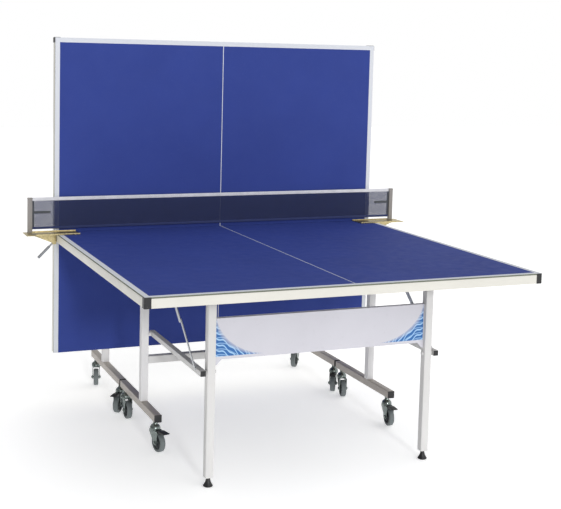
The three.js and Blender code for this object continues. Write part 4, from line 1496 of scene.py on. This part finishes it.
@dataclass
class Steelwork:
    """The boards, and the frames, tubes and links whose nodes get rounded copies."""

    finishes: Finishes

    def build(self) -> None:
        """Paints the boards, and makes every other steel node again with rounded bends."""
        bodies = frame["record"]["behaviour"]["bodies"]
        body_of = {node: body for body, nodes in bodies.items() for node in nodes}
        made = self.finishes
        rounded = []
        for half in HALVES:
            self.dress(f"{half}_board", made.board[half])
            rounded += [
                (f"{half}_top_frame", made.apron, "edge_frame", 1.6 * MM),
                (f"{half}_crossbar", made.tube, "tube_steel", 3 * MM),
                (f"{half}_leg_panel", made.panel[half], "leg_panel", 2 * MM),
            ]
            for hand in HANDS:
                rounded += [
                    (f"{half}_side_frame_{hand}", made.carriage, "carriage_steel", 3 * MM),
                    (f"{half}_leg_{hand}", made.tube, "tube_steel", 3 * MM),
                    (f"{half}_brace_{hand}", made.tube, "tube_steel", 2.4 * MM),
                    (f"{half}_upper_stay_{hand}", made.zinc, "zinc_steel", 0.8 * MM),
                    (f"{half}_lower_stay_{hand}", made.zinc, "zinc_steel", 0.8 * MM),
                ]
        for hand in HANDS:
            rounded += [
                (f"net_bracket_{hand}", made.yellow_zinc, "yellow_zinc", 1.0 * MM),
                (f"net_post_{hand}", made.net_post, "net_post", 2 * MM),
            ]
        for node, material, slot, radius in rounded:
            RoundedSteel(node, material, body_of[node], slot, radius).build()
            LOG.info("rounded %s", node)

    def dress(self, node: str, material: bpy.types.Material) -> None:
        """Gives a node its finish."""
        data = frame["nodes"][node].data
        data.materials.clear()
        data.materials.append(material)


@dataclass
class Studio:
    """The pale floor, soft light and camera."""

    azimuth: float = math.radians(-22.084)
    elevation: float = math.radians(5.495)
    roll: float = math.radians(1.321)
    distance: float = 4.6334
    target: Vector = field(default_factory=lambda: Vector((-0.0442, 0.04375, 1.0936)))
    focal: float = 1125.7 / 561
    shift: tuple[float, float] = (26.6 / 561, -90.7 / 561)
    surround: float = 0.64
    surround_tilt: float = 0.4
    floor_glow: float = 0.42
    floor_reach: float = 18.0
    floor_drop: float = 0.2 * MM

    def build(self) -> None:
        """Makes the stage."""
        self.camera()
        self.floor()
        self.lights()

    def camera(self) -> None:
        """Places the camera at its angle and distance from the target."""
        data = bpy.data.cameras.new("camera")
        data.sensor_width = 36
        data.lens = 36 * self.focal
        data.shift_x, data.shift_y = self.shift
        data.clip_end = 60
        back = Vector((
            math.sin(self.azimuth) * math.cos(self.elevation),
            -math.cos(self.azimuth) * math.cos(self.elevation),
            math.sin(self.elevation),
        ))
        right = (-back).cross(Vector((0, 0, 1))).normalized()
        up = right.cross(-back)
        turned_right = math.cos(self.roll) * right + math.sin(self.roll) * up
        turned_up = math.cos(self.roll) * up - math.sin(self.roll) * right
        camera = bpy.data.objects.new("camera", data)
        axes = Matrix((turned_right, turned_up, back)).transposed().to_4x4()
        camera.matrix_world = Matrix.Translation(self.target + back * self.distance) @ axes
        bpy.context.scene.collection.objects.link(camera)
        bpy.context.scene.camera = camera

    def floor(self) -> None:
        """Lays the pale floor."""
        shading = Shading("pale_studio_floor", "#fbfbfb", 0.8)
        shading.paint(shading.tint(shading.colour, 0.01, 0.8))
        shading.shader.inputs["Emission Color"].default_value = (1, 1, 1, 1)
        shading.shader.inputs["Emission Strength"].default_value = self.floor_glow
        mesh = bmesh.new()
        bmesh.ops.create_grid(mesh, x_segments=1, y_segments=1, size=self.floor_reach)
        data = bpy.data.meshes.new("studio_floor")
        mesh.to_mesh(data)
        mesh.free()
        data.materials.append(shading.material)
        floor = bpy.data.objects.new("studio_floor", data)
        floor.location = (0, 0, -self.floor_drop)
        bpy.context.scene.collection.objects.link(floor)

    def softbox(self, name: str, direction: Vector, energy: float, spread: float) -> None:
        """Adds a distant light with soft shadows.

        Args:
            name: the light's name.
            direction: from the table towards the light.
            energy: its strength in watts a square metre.
            spread: how wide it looks from the table, in degrees.
        """
        data = bpy.data.lights.new(name, "SUN")
        data.energy = energy
        data.angle = math.radians(spread)
        light = bpy.data.objects.new(name, data)
        light.rotation_euler = direction.to_track_quat("Z", "Y").to_euler()
        bpy.context.scene.collection.objects.link(light)

    def lights(self) -> None:
        """Sets a surround that is dimmer on the left, a broad light above and a low front key."""
        world = bpy.data.worlds.new("studio")
        bpy.context.scene.world = world
        world.use_nodes = True
        tree = world.node_tree
        tree.nodes.clear()
        seen = add_node(tree, "ShaderNodeLightPath").outputs["Is Camera Ray"]
        direction = add_node(tree, "ShaderNodeTexCoord").outputs["Generated"]
        aside = add_node(tree, "ShaderNodeSeparateXYZ", links={0: direction}).outputs[0]
        strength = add_node(
            tree,
            "ShaderNodeMath",
            settings={"operation": "MULTIPLY_ADD"},
            values={1: self.surround_tilt, 2: self.surround},
            links={0: aside},
        ).outputs[0]
        glow = add_node(
            tree, "ShaderNodeBackground", values={"Color": (1, 1, 1, 1)}, links={"Strength": strength}
        )
        plain = add_node(tree, "ShaderNodeBackground", values={"Color": (1, 1, 1, 1), "Strength": 1.0})
        mixed = add_node(
            tree, "ShaderNodeMixShader", links={0: seen, 1: glow.outputs[0], 2: plain.outputs[0]}
        ).outputs[0]
        add_node(tree, "ShaderNodeOutputWorld", links={"Surface": mixed})
        self.softbox("overhead", Vector((0.25, -0.5, 0.85)), energy=0.35, spread=40)
        self.softbox("front_key", Vector((-0.08, -1.0, 0.29)), energy=0.95, spread=7)
        bpy.context.scene.view_settings.view_transform = "Standard"


def main() -> None:
    """Builds the table in order and reports each group."""
    logging.basicConfig(level=logging.INFO, format="%(name)s: %(message)s")
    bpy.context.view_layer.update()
    Studio().build()
    finishes = Finishes()
    Steelwork(finishes).build()
    TubePlugs(finishes).build()
    CornerCaps(finishes).build()
    for half in HALVES:
        for hand in HANDS:
            LevellingFoot(finishes).build(half, hand)
            for place in ("inner", "outer"):
                Caster(f"{half}_{place}_{hand}", finishes).build()
                LOG.info("caster %s %s %s", half, place, hand)
    FlangeScrews(finishes).build()
    ClampLever(finishes).build()
    NetSet(finishes).build()
    LOG.info("net set done")


if __name__ == "__main__":
    main()
